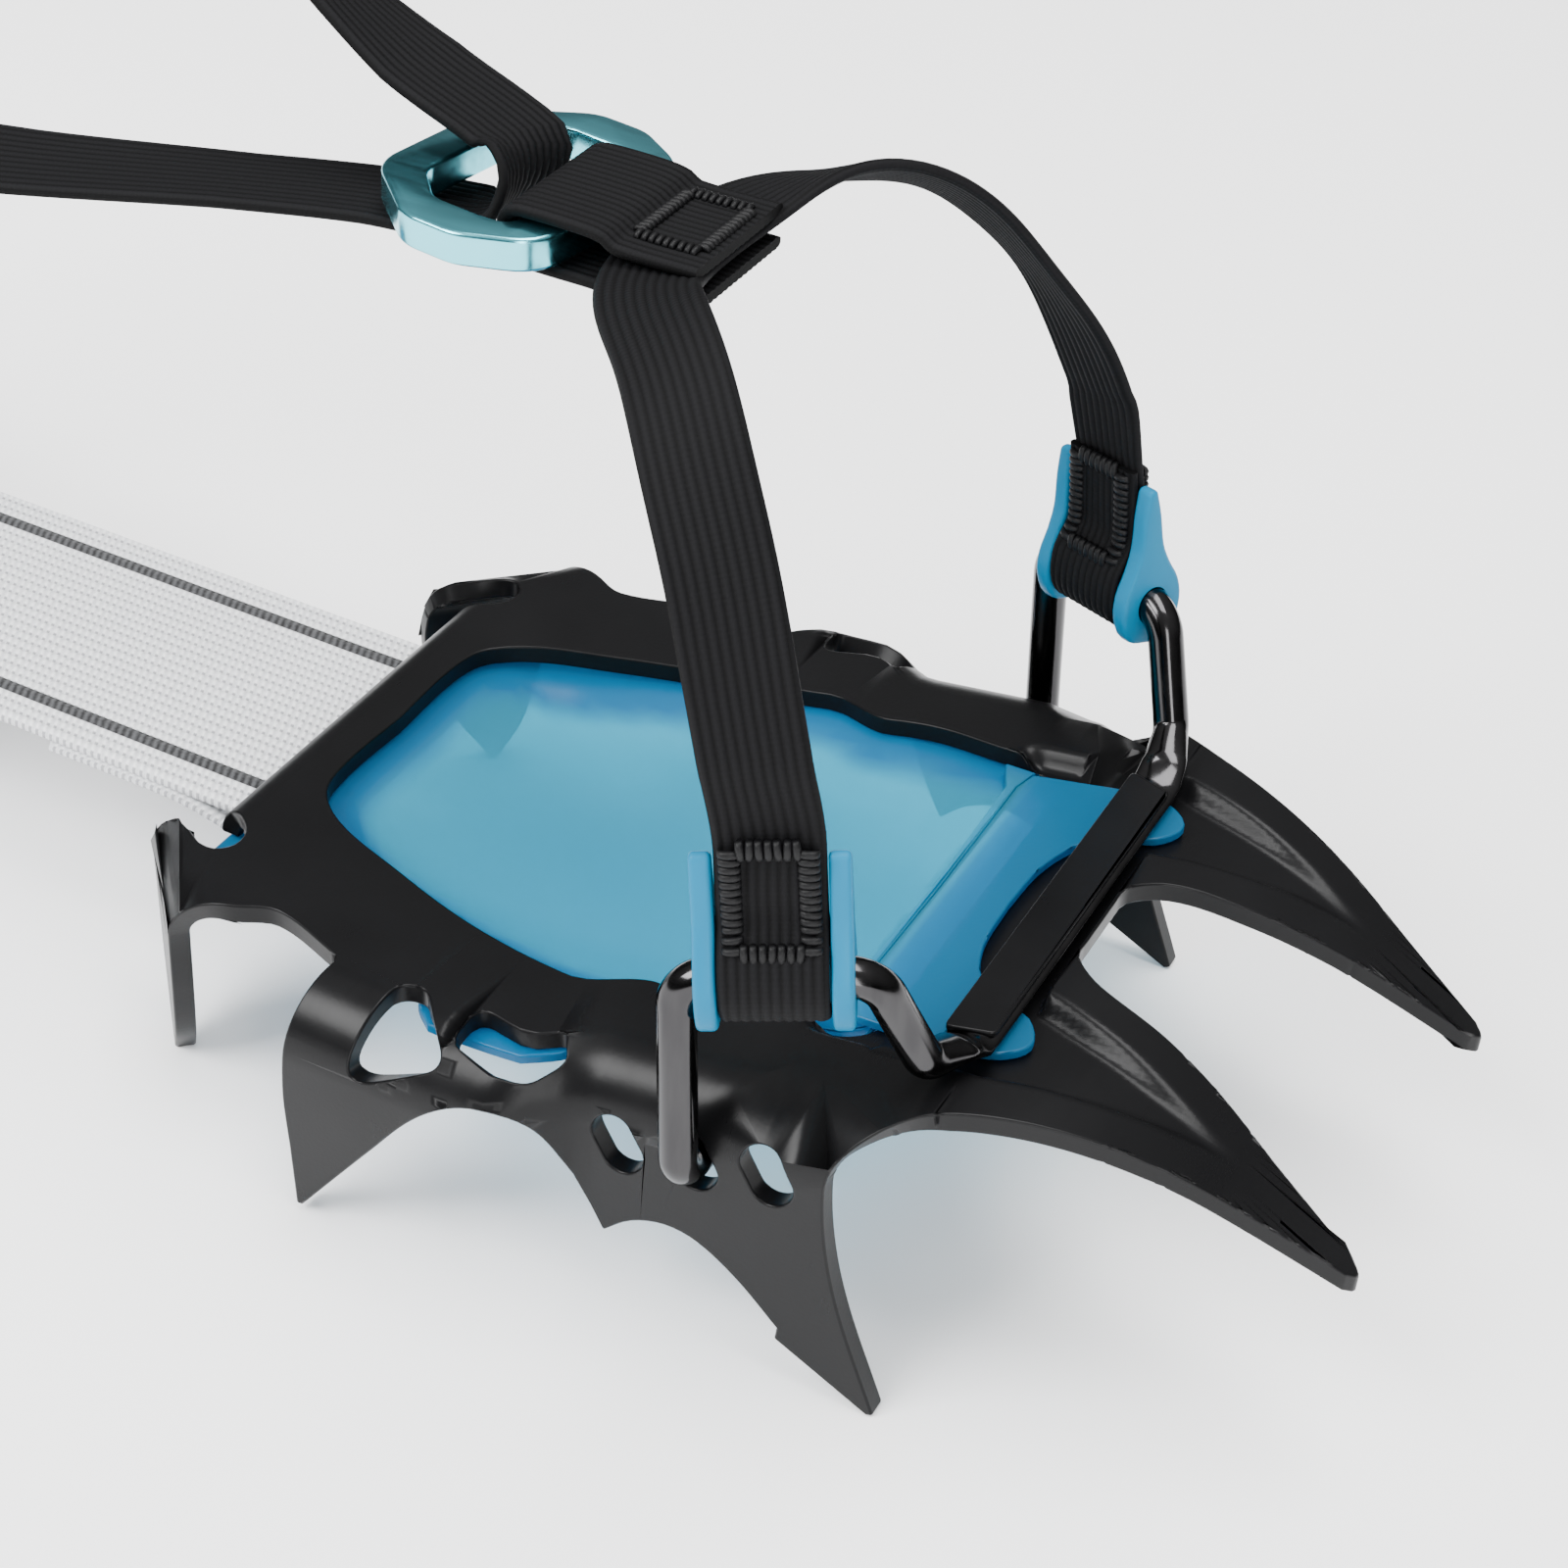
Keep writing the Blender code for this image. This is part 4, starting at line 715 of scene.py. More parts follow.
HOLES = [
    tilted_slot(-68.6, 17.2), tilted_slot(-79.1, 16.3), tilted_slot(-89.5, 15.3),
    rounded(trace(flange, (-33.9, -0.9), (-37.6, -1.6), (-45.9, 8.1), (-32.1, 15.8)), 2.6),
    rounded(trace(flange, (-45.4, -1.9), (-58, 0.9), (-60, 6.3), (-57, 8.5), (-45.2, 4.6)), 2.0),
]


def trough(x, y):
    """Depth of the pressed recess over the front cross-member and down each front point."""
    x = abs(x)
    outer = np.interp(y, (-139.5, -129, -122, -115, -109), (25.9, 29.3, 31.3, 33.2, 35))
    inner = np.interp(y, (-139.5, -128, -122, -116, -110, -107), (24.4, 21.6, 19.8, 18.3, 16.5, -4))
    side = blend(-0.4, 2.2, outer - x) * blend(-0.4, 2.2, x - inner)
    if y > -109.5:
        side = blend(-0.4, 2.2, outer - x) * max(blend(-109.5, -107.3, y), blend(-0.4, 2.2, x - inner))
    depth = TROUGH_DEPTH * (1 - 0.75 * blend(-112, -139, y))
    return depth * side * blend(-84, -88, y) * blend(-141, -138.5, y)


def fold_bend(run, radius, depth):
    """How far out and how far down a place lies, at a run past the bend's start."""
    angle = min(run / radius, math.pi / 2)
    past = max(run - radius * math.pi / 2, 0)
    return (radius - depth) * math.sin(angle), radius - (radius - depth) * math.cos(angle) + past


def fold_front(p):
    """Takes a place in the flat blank to the formed plate."""
    depth = -p.z
    side = math.copysign(1, p.x)
    wide = abs(p.x)
    y = p.y
    if y < FLANGE_FROM:
        run = wide - FRONT_HALF_WIDTH
        if run > 0:
            radius = REAR_BEND + (FRONT_BEND - REAR_BEND) * blend(NARROW_FROM, NARROW_TO, y)
            out, down = fold_bend(run, radius, depth)
            return Vector((side * (bend_start(y) + out), y, sole_height(y) - down))
        x = wide * bend_start(y) / FRONT_HALF_WIDTH
        return Vector((side * x, y, sole_height(y) - depth - trough(x, y)))
    x = wide * REAR_HALF_WIDTH / FRONT_HALF_WIDTH
    spot = Vector((x, y))
    run = spot.dot(CORNER_NORMAL) - CORNER_BEND_AT
    if run > 0 and x > 30.5:
        out, down = fold_bend(run, CORNER_BEND, depth)
        spot += CORNER_NORMAL * (out - run)
        return Vector((side * spot.x, spot.y, -down))
    if y > ROLL_START:
        out, down = fold_bend(y - ROLL_START, ROLL_RADIUS, depth)
        return Vector((side * x, ROLL_START + out, -down))
    return Vector((side * x, y, -depth))


def make_front_plate():
    holes = [mirrored(OPENING_HALF)]
    for hole in HOLES:
        holes += [hole, flipped(hole)]
    sheet = flat_sheet([mirrored(PLATE_HALF), *holes], SHEET)
    blank_normal = Vector((CORNER_NORMAL.x * REAR_HALF_WIDTH / FRONT_HALF_WIDTH, CORNER_NORMAL.y, 0))
    bend_steps = 12
    for side in (-1, 1):
        for k in range(bend_steps + 1):
            line = side * (FRONT_HALF_WIDTH + REAR_BEND * math.pi / 2 * k / bend_steps)
            split(sheet, (line, 0, 0), (1, 0, 0), lambda c: c.y < -16 and abs(c.x) > 38)
        for k in range(bend_steps + 1):
            reach = (CORNER_BEND_AT + CORNER_BEND * math.pi / 2 * k / bend_steps) / blank_normal.length
            normal = Vector((side * blank_normal.x, blank_normal.y, 0)).normalized()
            split(sheet, normal * reach, normal, lambda c: c.y > -14 and abs(c.x) > 26)
        for x in np.arange(15.6, 37, 0.5):
            split(sheet, (side * x, 0, 0), (1, 0, 0), lambda c: c.y < -80 and abs(c.x) < 40)
    for k in range(7):
        y = ROLL_START + ROLL_RADIUS * math.pi / 2 * k / 6
        split(sheet, (0, y, 0), (0, 1, 0), lambda c: c.y > -2 and abs(c.x) < 27)
    for y in np.arange(-35, -84, -2.5):
        split(sheet, (0, y, 0), (0, 1, 0))
    for y in [*np.arange(-84, -107, -1.0), *np.arange(-107, -110.5, -0.4), *np.arange(-111, -142, -1.2)]:
        split(sheet, (0, y, 0), (0, 1, 0), lambda c: abs(c.x) < 40)
    merge_flat(sheet)
    bmesh.ops.remove_doubles(sheet, verts=sheet.verts, dist=0.16)
    warp(sheet, fold_front)
    bmesh.ops.triangulate(sheet, faces=[f for f in sheet.faces if len(f.verts) > 4])
    made = piece("front_plate_fine", sheet, STEEL, ROOT, ["front_plate"], sharp=62)
    bevelled(made, 0.35, 62)


# ---- the front anti-snow plate ----
ANCHOR_Y = 3.5
ANCHOR_Z = -10.0
ANCHOR_DIAMETER = 4.0


def membrane_top(x, y):
    inside = blend(36, 20, abs(x)) * blend(0, -18, y) * blend(-88, -72, y)
    return sole_height(y) - SHEET - GAP - 4.0 * inside


def make_front_antiball():
    skin_half = joined([
        straight((0, 1), (32.5, 1)),
        smooth([(32.5, 1), (34.5, -6), (37.5, -20), (43, -33.5), (47.5, -35.8), (50.2, -39)]),
        straight((50.2, -39), (50.2, -53)),
        smooth([(50.2, -53), (47.6, -57.5), (43.2, -61.5), (41, -66), (40.5, -72), (40, -78), (36, -82),
                (31.4, -84), (30.2, -88), (27.6, -91.4), (22, -92.4)]),
        straight((22, -92.4), (0, -92.4)),
    ])
    skin = slab([mirrored(skin_half)], lambda x, y: membrane_top(x, y) - 1.6, membrane_top,
                np.arange(-36, 37, 2.0), np.arange(-90, 0, 2.0))
    bar_half = straight((0, -86.4), (25.5, -85.6), (30.9, -83.2), (30.1, -88), (27.2, -91.6), (21, -92.6),
                        (0, -92.6))
    bar = slab([mirrored(bar_half)], lambda x, y: sole_height(y) - SHEET - 1.2, lambda x, y: sole_height(y) - 1.2,
               (), (-88,))
    arm_half = joined([
        straight((0, -87.5), (25.5, -87.2), (29.2, -88.2)),
        smooth([(29.2, -88.2), (29.8, -95), (30.3, -103), (29.0, -109.2), (25.5, -112.0), (21.2, -109.8),
                (19.4, -105), (15.5, -100.6), (9, -98.2), (0, -97.6)]),
    ])
    arms = slab([mirrored(arm_half)], lambda x, y: sole_height(y) - 2.4, lambda x, y: sole_height(y) - 1.0,
                (), np.arange(-110, -88, 2.0))
    changes = [(bar, "UNION"), (arms, "UNION")]
    for side in (-1, 1):
        changes.append((block((side * 30.5, 3.4, -10.6), (6, 9, 9.6), 1.0), "UNION"))
        changes.append((block((side * 30.5, 0.4, -5.6), (5.4, 3, 4.0)), "UNION"))
        hole = rod((side * 26, ANCHOR_Y, ANCHOR_Z), (side * 35, ANCHOR_Y, ANCHOR_Z), ANCHOR_DIAMETER + 0.8)
        changes.append((hole, "DIFFERENCE"))
    mesh = combined(skin, changes)
    rim = mirrored(OPENING_HALF)
    # Painted shade mask: 1 along the opening's rim, where the steel wall shades the membrane, and under the steel;
    # 0 in the open middle.
    rim_shade = mesh.verts.layers.float.new("rim_shade")
    for vertex in mesh.verts:
        spot = plan(vertex.co.x, vertex.co.y)
        near = min((spot - p).length for p in rim)
        inside = abs(vertex.co.x) < 34 and -93 < vertex.co.y < -1.5
        vertex[rim_shade] = 1 - blend(3.5, 5.5, near) if inside else 1.0
    made = piece("front_antiball_fine", mesh, ELASTOMER, ROOT, ["front_antiball_plate"], sharp=32)
    bevelled(made, 0.35, 45)


# ---- the toe bail ----
REAR_ELBOW = Vector((55.0, -77.3, 26.0))
FRONT_ELBOW = Vector((45.0, -98.3, 28.3))
STRAP_SEAT = (REAR_ELBOW + FRONT_ELBOW) / 2 + Vector((0, 0, 0.2))
RUN_WAY = (FRONT_ELBOW - REAR_ELBOW).normalized()
SLEEVE_RADIUS = 3.3
WIRE_RADIUS = 2.5
BAR_HALF_WIDTH = 3.4
BAR_HALF_HEIGHT = 1.0
RAIL_WIDTH = 2.7
RAIL_GAP = 0.2


def bail_side(side):
    hook = straight((46.5, -79.1, -5.7), (55.3, -79.1, -5.7))
    corners = [*hook, REAR_ELBOW, FRONT_ELBOW,
               *straight((39.8, -103.7, 13.2), (34.0, -105.3, 11.8), (31.0, -105.5, 10.0))]
    return [sided(p, side) for p in bent_path(corners, (3.6, 4.5, 5.5, 3.0, 3.0), 14)]


def make_toe_bail():
    side = list(reversed(bail_side(1)))
    path = [*straight((0, -105.5, 9.8), (27, -105.5, 9.8), (29, -105.5, 9.8)), *side]
    start = side[0]
    radii = []
    for spot in path:
        round_part = blend(0.0, 9.0, (spot - start).length) if spot.x > 29.5 else 0.0
        radii.append((BAR_HALF_WIDTH + (WIRE_RADIUS - BAR_HALF_WIDTH) * round_part,
                      BAR_HALF_HEIGHT + (WIRE_RADIUS - BAR_HALF_HEIGHT) * round_part))
    right = tube(path, radii)
    left = [[sided(p, -1) for p in ring] for ring in right[:0:-1]]
    made = piece("toe_bail_fine", loft(left + right), WIRE, "toe_bail", ["toe_bail"], sharp=60)
    top = flat_sheet([rounded([(-30.6, -101.9), (30.6, -101.9), (28.6, -108.2), (-28.6, -108.2)], 1.0)], 1.1)
    bmesh.ops.translate(top, verts=top.verts, vec=(0, 0, 11.15))
    made = piece("toe_bar_top", top, STEEL, "toe_bail", sharp=30)
    bevelled(made, 0.3, 40)


def strap_axes(side):
    """Across the strap, along it and away from its face, where it leaves the wire."""
    across = sided(RUN_WAY, side)
    up = Vector((0, 0.15, 0.99))
    up = (up - across * up.dot(across)).normalized()
    out = across.cross(up) * side
    return across, up, out if out.x * side > 0 else -out


def make_guard(side, name):
    across, up, out = strap_axes(side)
    seat = sided(STRAP_SEAT, side)
    half = STRAP_WIDTH / 2 + RAIL_GAP
    sleeve = rod(seat - across * (half + 1), seat + across * (half + 1), 2 * SLEEVE_RADIUS, 48)
    edge = [(0.8, 17.5), (1.6, 13.5), (2.2, 8.5), (3.4, 5.2), (5, 2), (5.4, -1.5), (4, -5.2), (0, -6.8)]
    profile = joined([smooth([(-x, y) for x, y in edge]), smooth(edge[::-1])])
    changes = []
    for end in (-1, 1):
        rail = flat_sheet([profile], RAIL_WIDTH)
        round_edges(rail, 0.7)
        base = seat + across * end * (half + RAIL_WIDTH / 2)
        matrix = Matrix((out, up, across)).transposed().to_4x4()
        lift = Matrix.Translation(base + across * RAIL_WIDTH / 2) @ matrix
        bmesh.ops.transform(rail, matrix=lift, verts=rail.verts)
        bmesh.ops.recalc_face_normals(rail, faces=rail.faces)
        changes.append((rail, "UNION"))
    wire = [p for p in bail_side(side) if (p - seat).length < 15]
    bore = WIRE_RADIUS + 0.15
    changes.append((loft(tube(wire, [(bore, bore)] * len(wire))), "DIFFERENCE"))
    made = piece(name + "_fine", combined(sleeve, changes), GUARD, "toe_bail", [name], sharp=35)


# ---- webbing ----
STRAP_LINE = [
    ((49.6, -82.9, 57), (-0.32, -0.87, -0.08)),
    ((48.4, -80.9, 62), (-0.21, -0.84, -0.27)),
    ((46.9, -78.8, 67), (-0.11, -0.81, -0.45)),
    ((44.5, -75.8, 73), (0, -0.78, -0.63)),
    ((41.6, -72.6, 78), (0, -0.85, -0.50)),
    ((40, -70, 81), (0, -0.90, -0.43)),
    ((36, -65.6, 87.0), (0, -0.99, -0.16)),
    ((32, -62, 89.9), (0, -0.99, 0.15)),
    ((28, -58, 91.2), (0, -0.90, 0.44)),
    ((24, -54.7, 91.4), (0, -0.83, 0.56)),
    ((19, -50, 90.4), (0, -0.91, 0.41)),
    ((13.5, -46.6, 88.6), (0, -1, 0.07)),
    ((9, -45, 88.0), (0, -1, 0)),
    ((0, -44.5, 87.9), (0, -1, 0)),
]
LOOP_RADIUS = SLEEVE_RADIUS + 0.65 + WEBBING_THICKNESS / 2
LAYER = (WEBBING_THICKNESS + 0.35) / 2
LOOP_SIDE = [(19.5, LAYER), (12, LAYER), (8, 1.3 * LAYER), (4, 0.85 * LOOP_RADIUS)]


def strap_half(side):
    """One half of the front strap, from its sewn end round the wire to the middle."""
    across, up, out = strap_axes(side)
    seat = sided(STRAP_SEAT, side)
    path = [seat + up * height - out * offset for height, offset in LOOP_SIDE]
    for k in range(7):
        angle = math.pi * k / 6
        path.append(seat - out * LOOP_RADIUS * math.cos(angle) - up * LOOP_RADIUS * math.sin(angle))
    path += [seat + up * height + out * offset for height, offset in reversed(LOOP_SIDE[1:])]
    path.append(seat + up * 20)
    chords = [across] * len(path)
    for spot, chord in STRAP_LINE:
        path.append(sided(Vector(spot), side))
        chords.append(sided(Vector(chord), side).normalized())
    return path, chords


def eased(path, chords, free, passes=40):
    """Draws the free stretches of a band smooth; the band's other places stay put."""
    for _ in range(passes):
        before = [p.copy() for p in path], [c.copy() for c in chords]
        for i in free:
            path[i] = (before[0][i - 1] + 2 * before[0][i] + before[0][i + 1]) / 4
            chords[i] = (before[1][i - 1] + 2 * before[1][i] + before[1][i + 1]).normalized()
    return path, chords


def make_front_strap():
    right, right_chords = strap_half(1)
    left, left_chords = strap_half(-1)
    path, chords = resample(right + left[-2::-1], right_chords + left_chords[-2::-1], 1.5)
    stitched_below = 56
    path, chords = eased(path, chords, [i for i, spot in enumerate(path) if spot.z > stitched_below])
    rings, uvs = band_rings(path, chords, STRAP_WIDTH, WEBBING_THICKNESS, RIB_PITCH, RIB_RELIEF)
    made = piece("front_strap_webbing", loft(rings, uvs=uvs), WEBBING, "toe_bail", ["front_strap"], sharp=70)


RING_PIVOT = Vector((0.0, -32.0, 88.6))
RING_THICKNESS = 4.5


def make_ring_tab():
    middle = RING_PIVOT.z
    lift = RING_THICKNESS / 2 + 0.35 + WEBBING_THICKNESS / 2
    front = RING_PIVOT.y - 5.9
    back = RING_PIVOT.y + 5.9
    top = [(-52.4, 90.6), (-41, 90.6), (front - 1.5, middle + lift - 0.4), (front + 1, middle + lift)]
    path = [Vector((0, y, z)) for y, z in top]
    for k in range(7):
        angle = math.radians(90 - 180 * k / 6)
        path.append(Vector((0, back - 1.5 + 2.4 * math.cos(angle), middle + lift * math.sin(angle))))
    under = [(front + 1, middle - lift), (front - 1.5, middle - lift + 0.1), (-41, 86.1), (-52.4, 86.1)]
    path += [Vector((0, y, z)) for y, z in under]
    path, chords = resample(path, [(1, 0, 0)] * len(path), 1.0)
    rings, uvs = band_rings(path, chords, TAB_WIDTH, WEBBING_THICKNESS, RIB_PITCH, RIB_RELIEF)
    made = piece("ring_tab_webbing", loft(rings, uvs=uvs), WEBBING, None, ["ring_tab"], sharp=70)
    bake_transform(made)


def make_ring():
    front = -3.0
    back = 26.0
    middle = (front + back) / 2

    def hexagon(inset):
        wide = 19.0 - inset
        right = [(14 - inset * 0.3, front + inset), (wide, middle - 5), (wide, middle + 3),
                 (10.5 - inset * 0.4, back - inset)]
        return right + [(-x, y) for x, y in reversed(right)]

    ring = flat_sheet([rounded(hexagon(0), 7, 12), rounded(hexagon(6.0), 4, 12)], RING_THICKNESS)
    merge_flat(ring)
    round_edges(ring, 0.55)
    lift = Matrix.Translation((0, RING_PIVOT.y, RING_PIVOT.z + RING_THICKNESS / 2))
    bmesh.ops.transform(ring, matrix=lift @ Matrix.Rotation(math.radians(-8), 4, "Z"), verts=ring.verts)
    made = piece("strap_ring_fine", ring, ANODISED, "strap_ring", ["strap_ring"], sharp=30)


def make_link():
    bar = rod((-32.5, ANCHOR_Y, ANCHOR_Z), (32.5, ANCHOR_Y, ANCHOR_Z), ANCHOR_DIAMETER)
    made = piece("strap_anchor_bar_fine", bar, WIRE, ROOT, ["strap_anchor_bar"])
    path = [Vector((0, y, -6.9)) for y in (150, 105, 60, 14)]
    for k in range(9):
        angle = math.radians(90 + 180 * k / 8)
        path.append(Vector((0, ANCHOR_Y + 3.2 * math.cos(angle), ANCHOR_Z + 3.2 * math.sin(angle))))
    path += straight((0, 14, -10.3), (0, 22, -8.9), (0, 44, -8.9))
    path, chords = resample(path, [(1, 0, 0)] * len(path), 2.0)
    rings, uvs = band_rings(path, chords, LINK_WIDTH, 1.6, CORD_PITCH, 0.3)
    made = piece("linking_strap_webbing", loft(rings, uvs=uvs), LINK, ROOT, ["linking_strap"], sharp=70)


def hairpin(side):
    """The strap's end through the two slots of the heel lever."""
    turns = ((21.0, -7.5), (16.6, -4.6), (16.0, -2.0), (16.0, 5.0), (17.2, 6.6), (22.8, 6.6), (24.8, 4.6),
             (25.0, -6.0))
    return [Vector((side * x, 193 + out, 70)) for x, out in turns]


def make_ankle_strap():
    near = straight((-1.5, -16, 84.6), (-3.5, -3, 84.2), (-8, 16, 82.8), (-15, 46, 80), (-30, 120, 74),
                    (-35, 155, 71), (-31, 176, 70)) + hairpin(-1)
    near_chords = []
    for p in near:
        lean = math.radians(40 * blend(10, 150, p.y) + 50 * blend(110, 176, p.y))
        near_chords.append(Vector((math.cos(lean), 0, math.sin(lean))))
    far = straight((6.0, -16, 93.4), (7.5, -2, 98), (13, 24, 107.5), (22, 60, 115), (34, 104, 106),
                   (40, 140, 91), (35, 172, 75)) + hairpin(1)
    far_chords = [Vector((1 - blend(0, 80, p.y), 0, -blend(-5, 60, p.y))) for p in far]
    turn = straight((-0.4, -18.6, 85.6), (2.2, -20.4, 88.8), (4.8, -19.2, 92.2))
    path, chords = resample(near[::-1] + turn + far, near_chords[::-1] + [Vector((1, 0, 0))] * 3 + far_chords, 1.6)
    rings, uvs = band_rings(path, chords, ANKLE_WIDTH, WEBBING_THICKNESS, RIB_PITCH, RIB_RELIEF)
    middle = min(range(len(path)), key=lambda i: path[i].y)

    def cut(side, y):
        order = range(middle, -1, -1) if side < 0 else range(middle, len(path))
        return next((i for i in order if path[i].y >= y), order[-1])

    def strand(name, side, low, high, bodies, stands_for=()):
        first, last = sorted((cut(side, low), cut(side, high) if high else (0 if side < 0 else len(path) - 1)))
        skin = loft(rings[first:last + 1], False, uvs[first:last + 1])
        made = piece(name, skin, WEBBING, None, stands_for, sharp=70)
        if len(bodies) == 1:
            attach(made, bodies[0])
        else:
            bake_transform(made)

    first, last = cut(-1, -14), cut(1, -14)
    skin = loft(rings[first:last + 1], False, uvs[first:last + 1])
    loop = piece("ankle_strap_turn", skin, WEBBING, "strap_ring", sharp=70)
    strand("ankle_near_by_ring", -1, -14, -5, ("strap_ring", "toe_bail"), ["ankle_strap_near"])
    strand("ankle_near_front", -1, -5, 50, ("toe_bail", ROOT))
    strand("ankle_near_middle", -1, 50, 100, (ROOT, "heel_section"))
    strand("ankle_near_rear", -1, 100, 125, ("heel_section", "heel_bail"))
    strand("ankle_near_lever", -1, 125, None, ("heel_bail", "heel_lever"))
    strand("ankle_far_by_ring", 1, -14, -5, ("strap_ring", "toe_bail"), ["ankle_strap_far"])
    strand("ankle_far_front", 1, -5, 50, ("toe_bail", ROOT))
    strand("ankle_far_buckle", 1, 50, 136, (ROOT,))
    strand("ankle_far_middle", 1, 136, 174, (ROOT, "heel_section"))
    strand("ankle_far_rear", 1, 174, 180, ("heel_section", "heel_bail"))
    strand("ankle_far_lever", 1, 180, None, ("heel_bail", "heel_lever"))


# ---- stitching ----
def threads(name, spots, radius, body):
    """Short raised threads; each is (middle, half-length vector, outward direction)."""
    mesh = bmesh.new()
    for middle, reach, out in spots:
        side = reach.cross(out).normalized()
        rings = []
        for k in range(7):
            angle = math.pi * k / 6
            spot = middle - reach * math.cos(angle) + out * (0.45 * math.sin(angle) - 0.25)
            wide = radius * (0.75 + 0.25 * math.sin(angle))
            rings.append([mesh.verts.new(spot + side * wide * math.cos(a) + out * wide * math.sin(a))
                          for a in (2 * math.pi * n / 8 for n in range(8))])
        for first, second in zip(rings, rings[1:]):
            for n in range(8):
                mesh.faces.new((first[n], first[(n + 1) % 8], second[(n + 1) % 8], second[n]))
        mesh.faces.new(list(reversed(rings[0])))
        mesh.faces.new(rings[-1])
    bmesh.ops.recalc_face_normals(mesh, faces=mesh.faces)
    piece(name, mesh, THREAD, body, sharp=0)


def box_stitch(centre, right, up, out, half_wide, half_tall, reach, pitch, rng):
    """A rectangle of raised threads, each lying across the line that it follows."""
    spots = []
    for sign in (-1, 1):
        count = round(2 * half_tall / pitch)
        for k in range(count + 1):
            along = -half_tall + 2 * half_tall * k / count
            tilt = rng.uniform(-0.10, 0.10)
            middle = centre + right * sign * half_wide + up * along
            spots.append((middle, (right + up * tilt) * reach, out))
        count = round((2 * half_wide - 2 * reach) / pitch)
        for k in range(count + 1):
            along = -half_wide + reach + (2 * half_wide - 2 * reach) * k / count
            tilt = rng.uniform(-0.10, 0.10)
            middle = centre + up * sign * (half_tall + 0.4) + right * along
            spots.append((middle, (up + right * tilt) * reach, out))
    return spots


def make_stitching():
    rng = np.random.default_rng(7)
    patch_height = 12.2
    heights, offsets = zip(*reversed(LOOP_SIDE))
    for side, name in ((-1, "near"), (1, "far")):
        across, up, out = strap_axes(side)
        seat = sided(STRAP_SEAT, side)
        for face, where in ((1, "outer"), (-1, "inner")):
            spots = []
            for middle, reach, way in box_stitch(seat, across, up, out * face, 4.55, 6.2, 1.3, 1.0, rng):
                height = (middle - seat).dot(up) + patch_height
                lift = np.interp(height, heights, offsets) + WEBBING_THICKNESS / 2 + 0.12
                spots.append((middle + up * patch_height + out * face * lift, reach, way))
            threads(f"patch_stitching_{name}_{where}", spots, 0.55, "toe_bail")
    right, up, out = Vector((1, 0, 0)), Vector((0, 1, 0)), Vector((0, 0, 1))
    spots = box_stitch(Vector((0.0, -46.2, 91.5)), right, up, out, 6.6, 3.9, 1.0, 0.95, rng)
    threads("tab_stitching", spots, 0.45, "toe_bail")


def finish_cad_nodes():
    """Materials and rounded edges for the pieces whose CAD mesh is shown as it is."""
    looks = {
        "heel_plate": STEEL, "heel_antiball_plate": ELASTOMER, "heel_bail": WIRE, "heel_lever": POLYMER,
        "strap_lock_frame": ANODISED, "strap_lock_pin": PIN, "strap_lock_lever": POLYMER,
        "lock_rivet_near": PIN, "lock_rivet_far": PIN,
        "ankle_buckle_frame": POLYMER, "ankle_buckle_pin": PIN, "ankle_buckle_lever": ANODISED,
    }
    for name, look in looks.items():
        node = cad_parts[name]
        node.data.materials.clear()
        node.data.materials.append(look)
        node.data.shade_smooth()
        weld = node.modifiers.new("weld", "WELD")
        weld.merge_threshold = 0.00001
        bevelled(node, 0.35 if name == "heel_plate" else 0.25, 40)


# ---- light, floor and camera ----
def area_light(name, spot, target, size, power):
    data = bpy.data.lights.new(name, "AREA")
    data.shape = "RECTANGLE"
    data.size, data.size_y = size
    data.energy = power
    made = add_object(name, data)
    made.location = spot
    made.rotation_euler = (Vector(target) - Vector(spot)).to_track_quat("-Z", "Y").to_euler()


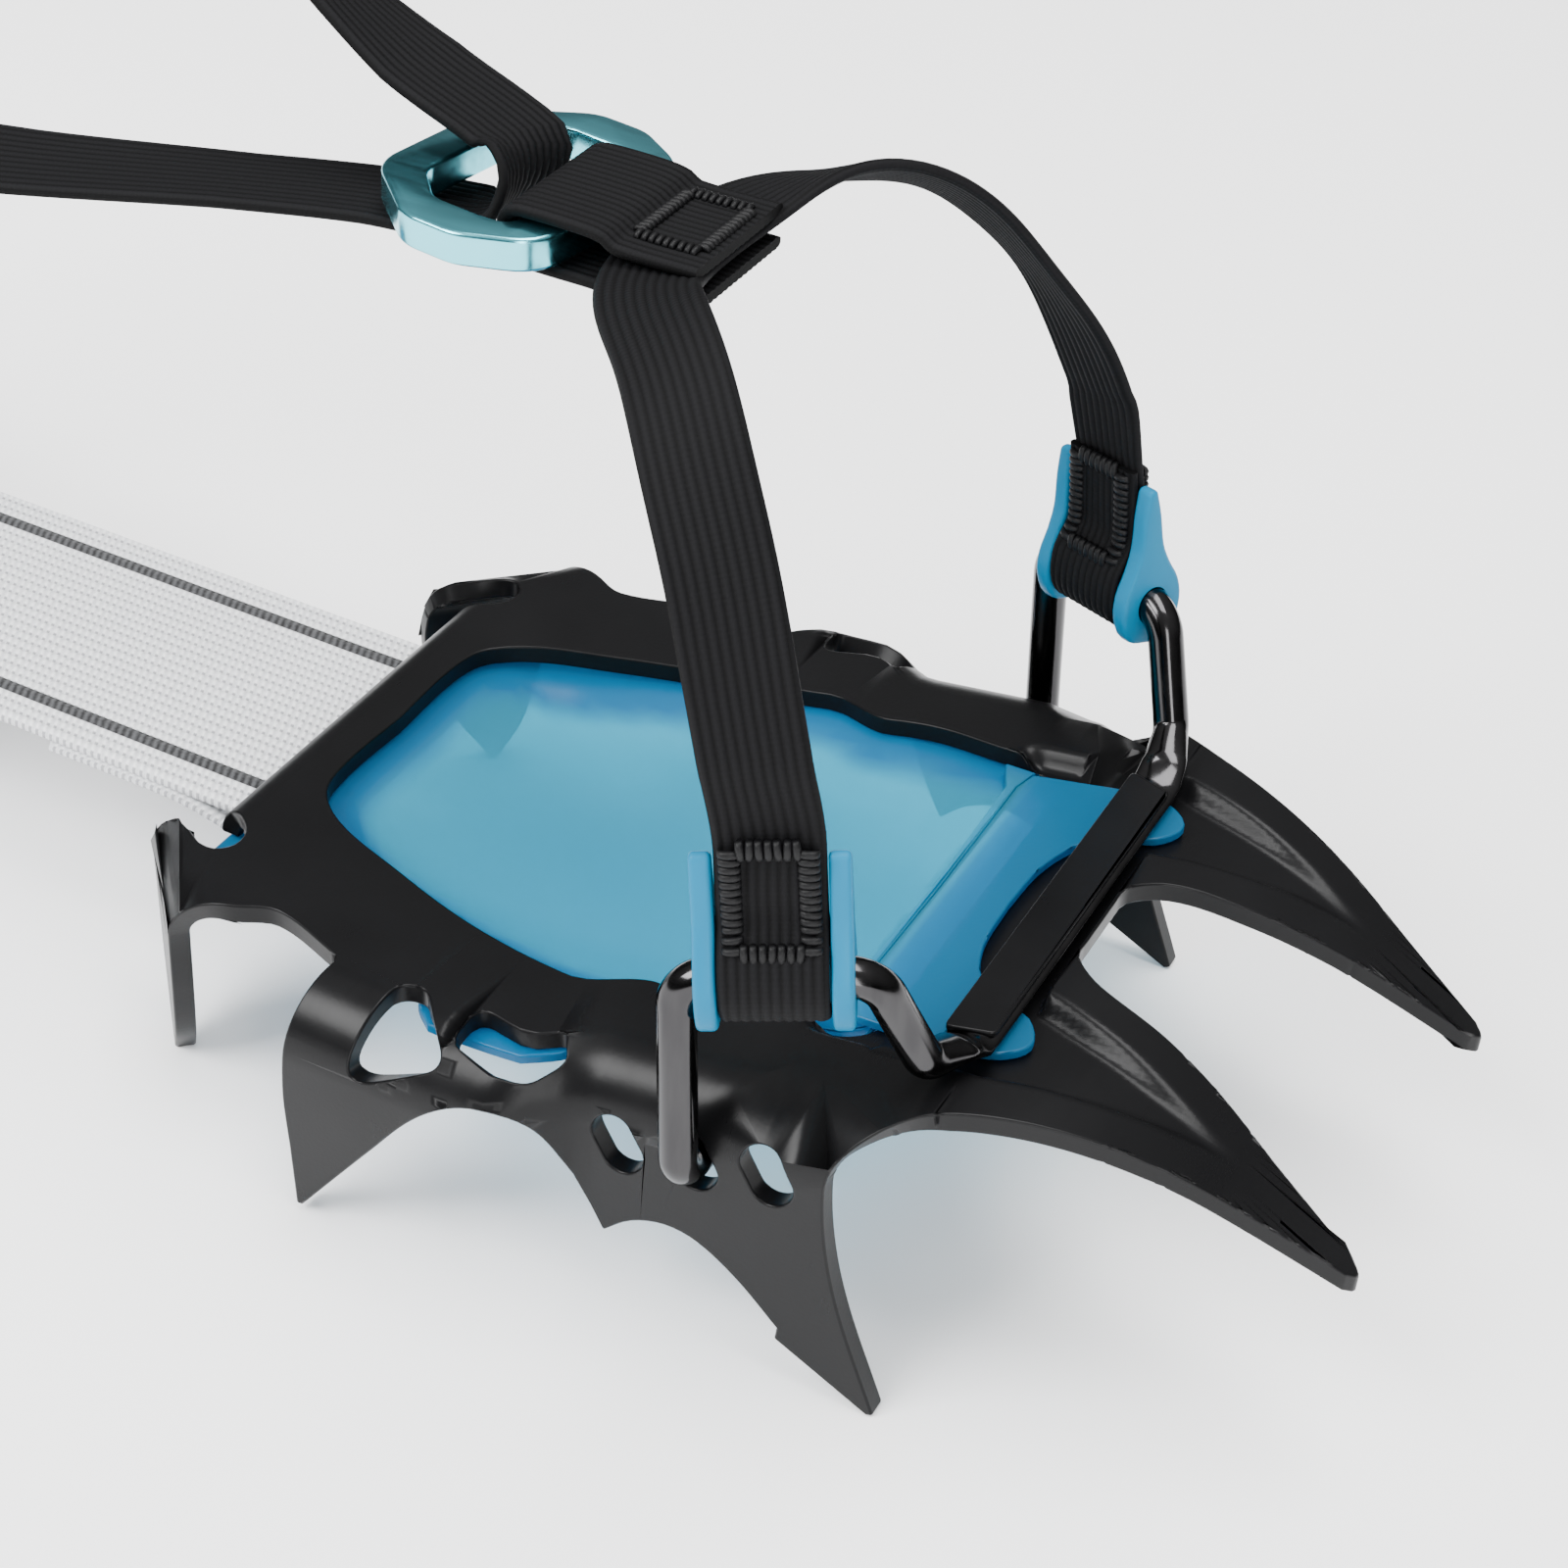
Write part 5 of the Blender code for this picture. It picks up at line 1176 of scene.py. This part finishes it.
def light_world(tree):
    """White all round for the floor, and darker away from the zenith in reflections."""
    background = tree.nodes["Background"]
    path = tree.nodes.new("ShaderNodeLightPath")
    place = tree.nodes.new("ShaderNodeTexCoord")
    height = tree.nodes.new("ShaderNodeSeparateXYZ")
    glow = tree.nodes.new("ShaderNodeMapRange")
    strength = tree.nodes.new("ShaderNodeMix")
    tree.links.new(place.outputs["Generated"], height.inputs[0])
    tree.links.new(height.outputs[2], glow.inputs[0])
    for socket, value in zip(glow.inputs[1:5], (0.1, 0.95, 0.07, 0.7)):
        socket.default_value = value
    tree.links.new(path.outputs["Is Glossy Ray"], strength.inputs[0])
    strength.inputs[2].default_value = 1.6
    tree.links.new(glow.outputs[0], strength.inputs[3])
    background.inputs[0].default_value = (1.0, 1.0, 1.0, 1.0)
    tree.links.new(strength.outputs[0], background.inputs[1])


def set_stage():
    g = Graph("pale floor")
    g.finish(Base_Color=(0.93, 0.93, 0.935, 1.0), Roughness=0.7, Specular_IOR_Level=0.2)
    mesh = bmesh.new()
    bmesh.ops.create_grid(mesh, x_segments=1, y_segments=1, size=3.0,
                          matrix=Matrix.Translation((0, 0, -0.0372)))
    data = baked("floor", mesh)
    data.materials.append(g.material)
    add_object("floor", data)
    world = bpy.data.worlds.new("studio")
    world.use_nodes = True
    light_world(world.node_tree)
    bpy.context.scene.world = world
    middle = (0.0, -0.03, 0.02)
    area_light("key", (-0.75, 0.55, 0.95), middle, (0.7, 0.7), 30)
    area_light("over", (0.10, -0.15, 1.15), middle, (0.9, 0.5), 17)
    area_light("front", (-0.9, -0.7, 0.35), middle, (0.25, 0.8), 7)


def set_camera():
    data = bpy.data.cameras.new("photo angle")
    data.lens = 67.5
    data.sensor_width = 36.0
    data.clip_start = 0.01
    right = Vector((0.4673, -0.8836, 0.0565)).normalized()
    forward = Vector((0.7182, 0.3393, -0.6065)).normalized()
    up = right.cross(forward).normalized()
    made = add_object("photo angle", data)
    turn = Matrix((right, up, -forward)).transposed().to_4x4()
    made.matrix_world = Matrix.Translation((-0.2845, -0.1982, 0.2536)) @ turn
    bpy.context.scene.camera = made


make_front_plate()
make_front_antiball()
make_toe_bail()
make_guard(1, "strap_guard_far")
make_guard(-1, "strap_guard_near")
make_front_strap()
make_ring_tab()
make_ring()
make_link()
make_ankle_strap()
make_stitching()
finish_cad_nodes()
set_stage()
set_camera()
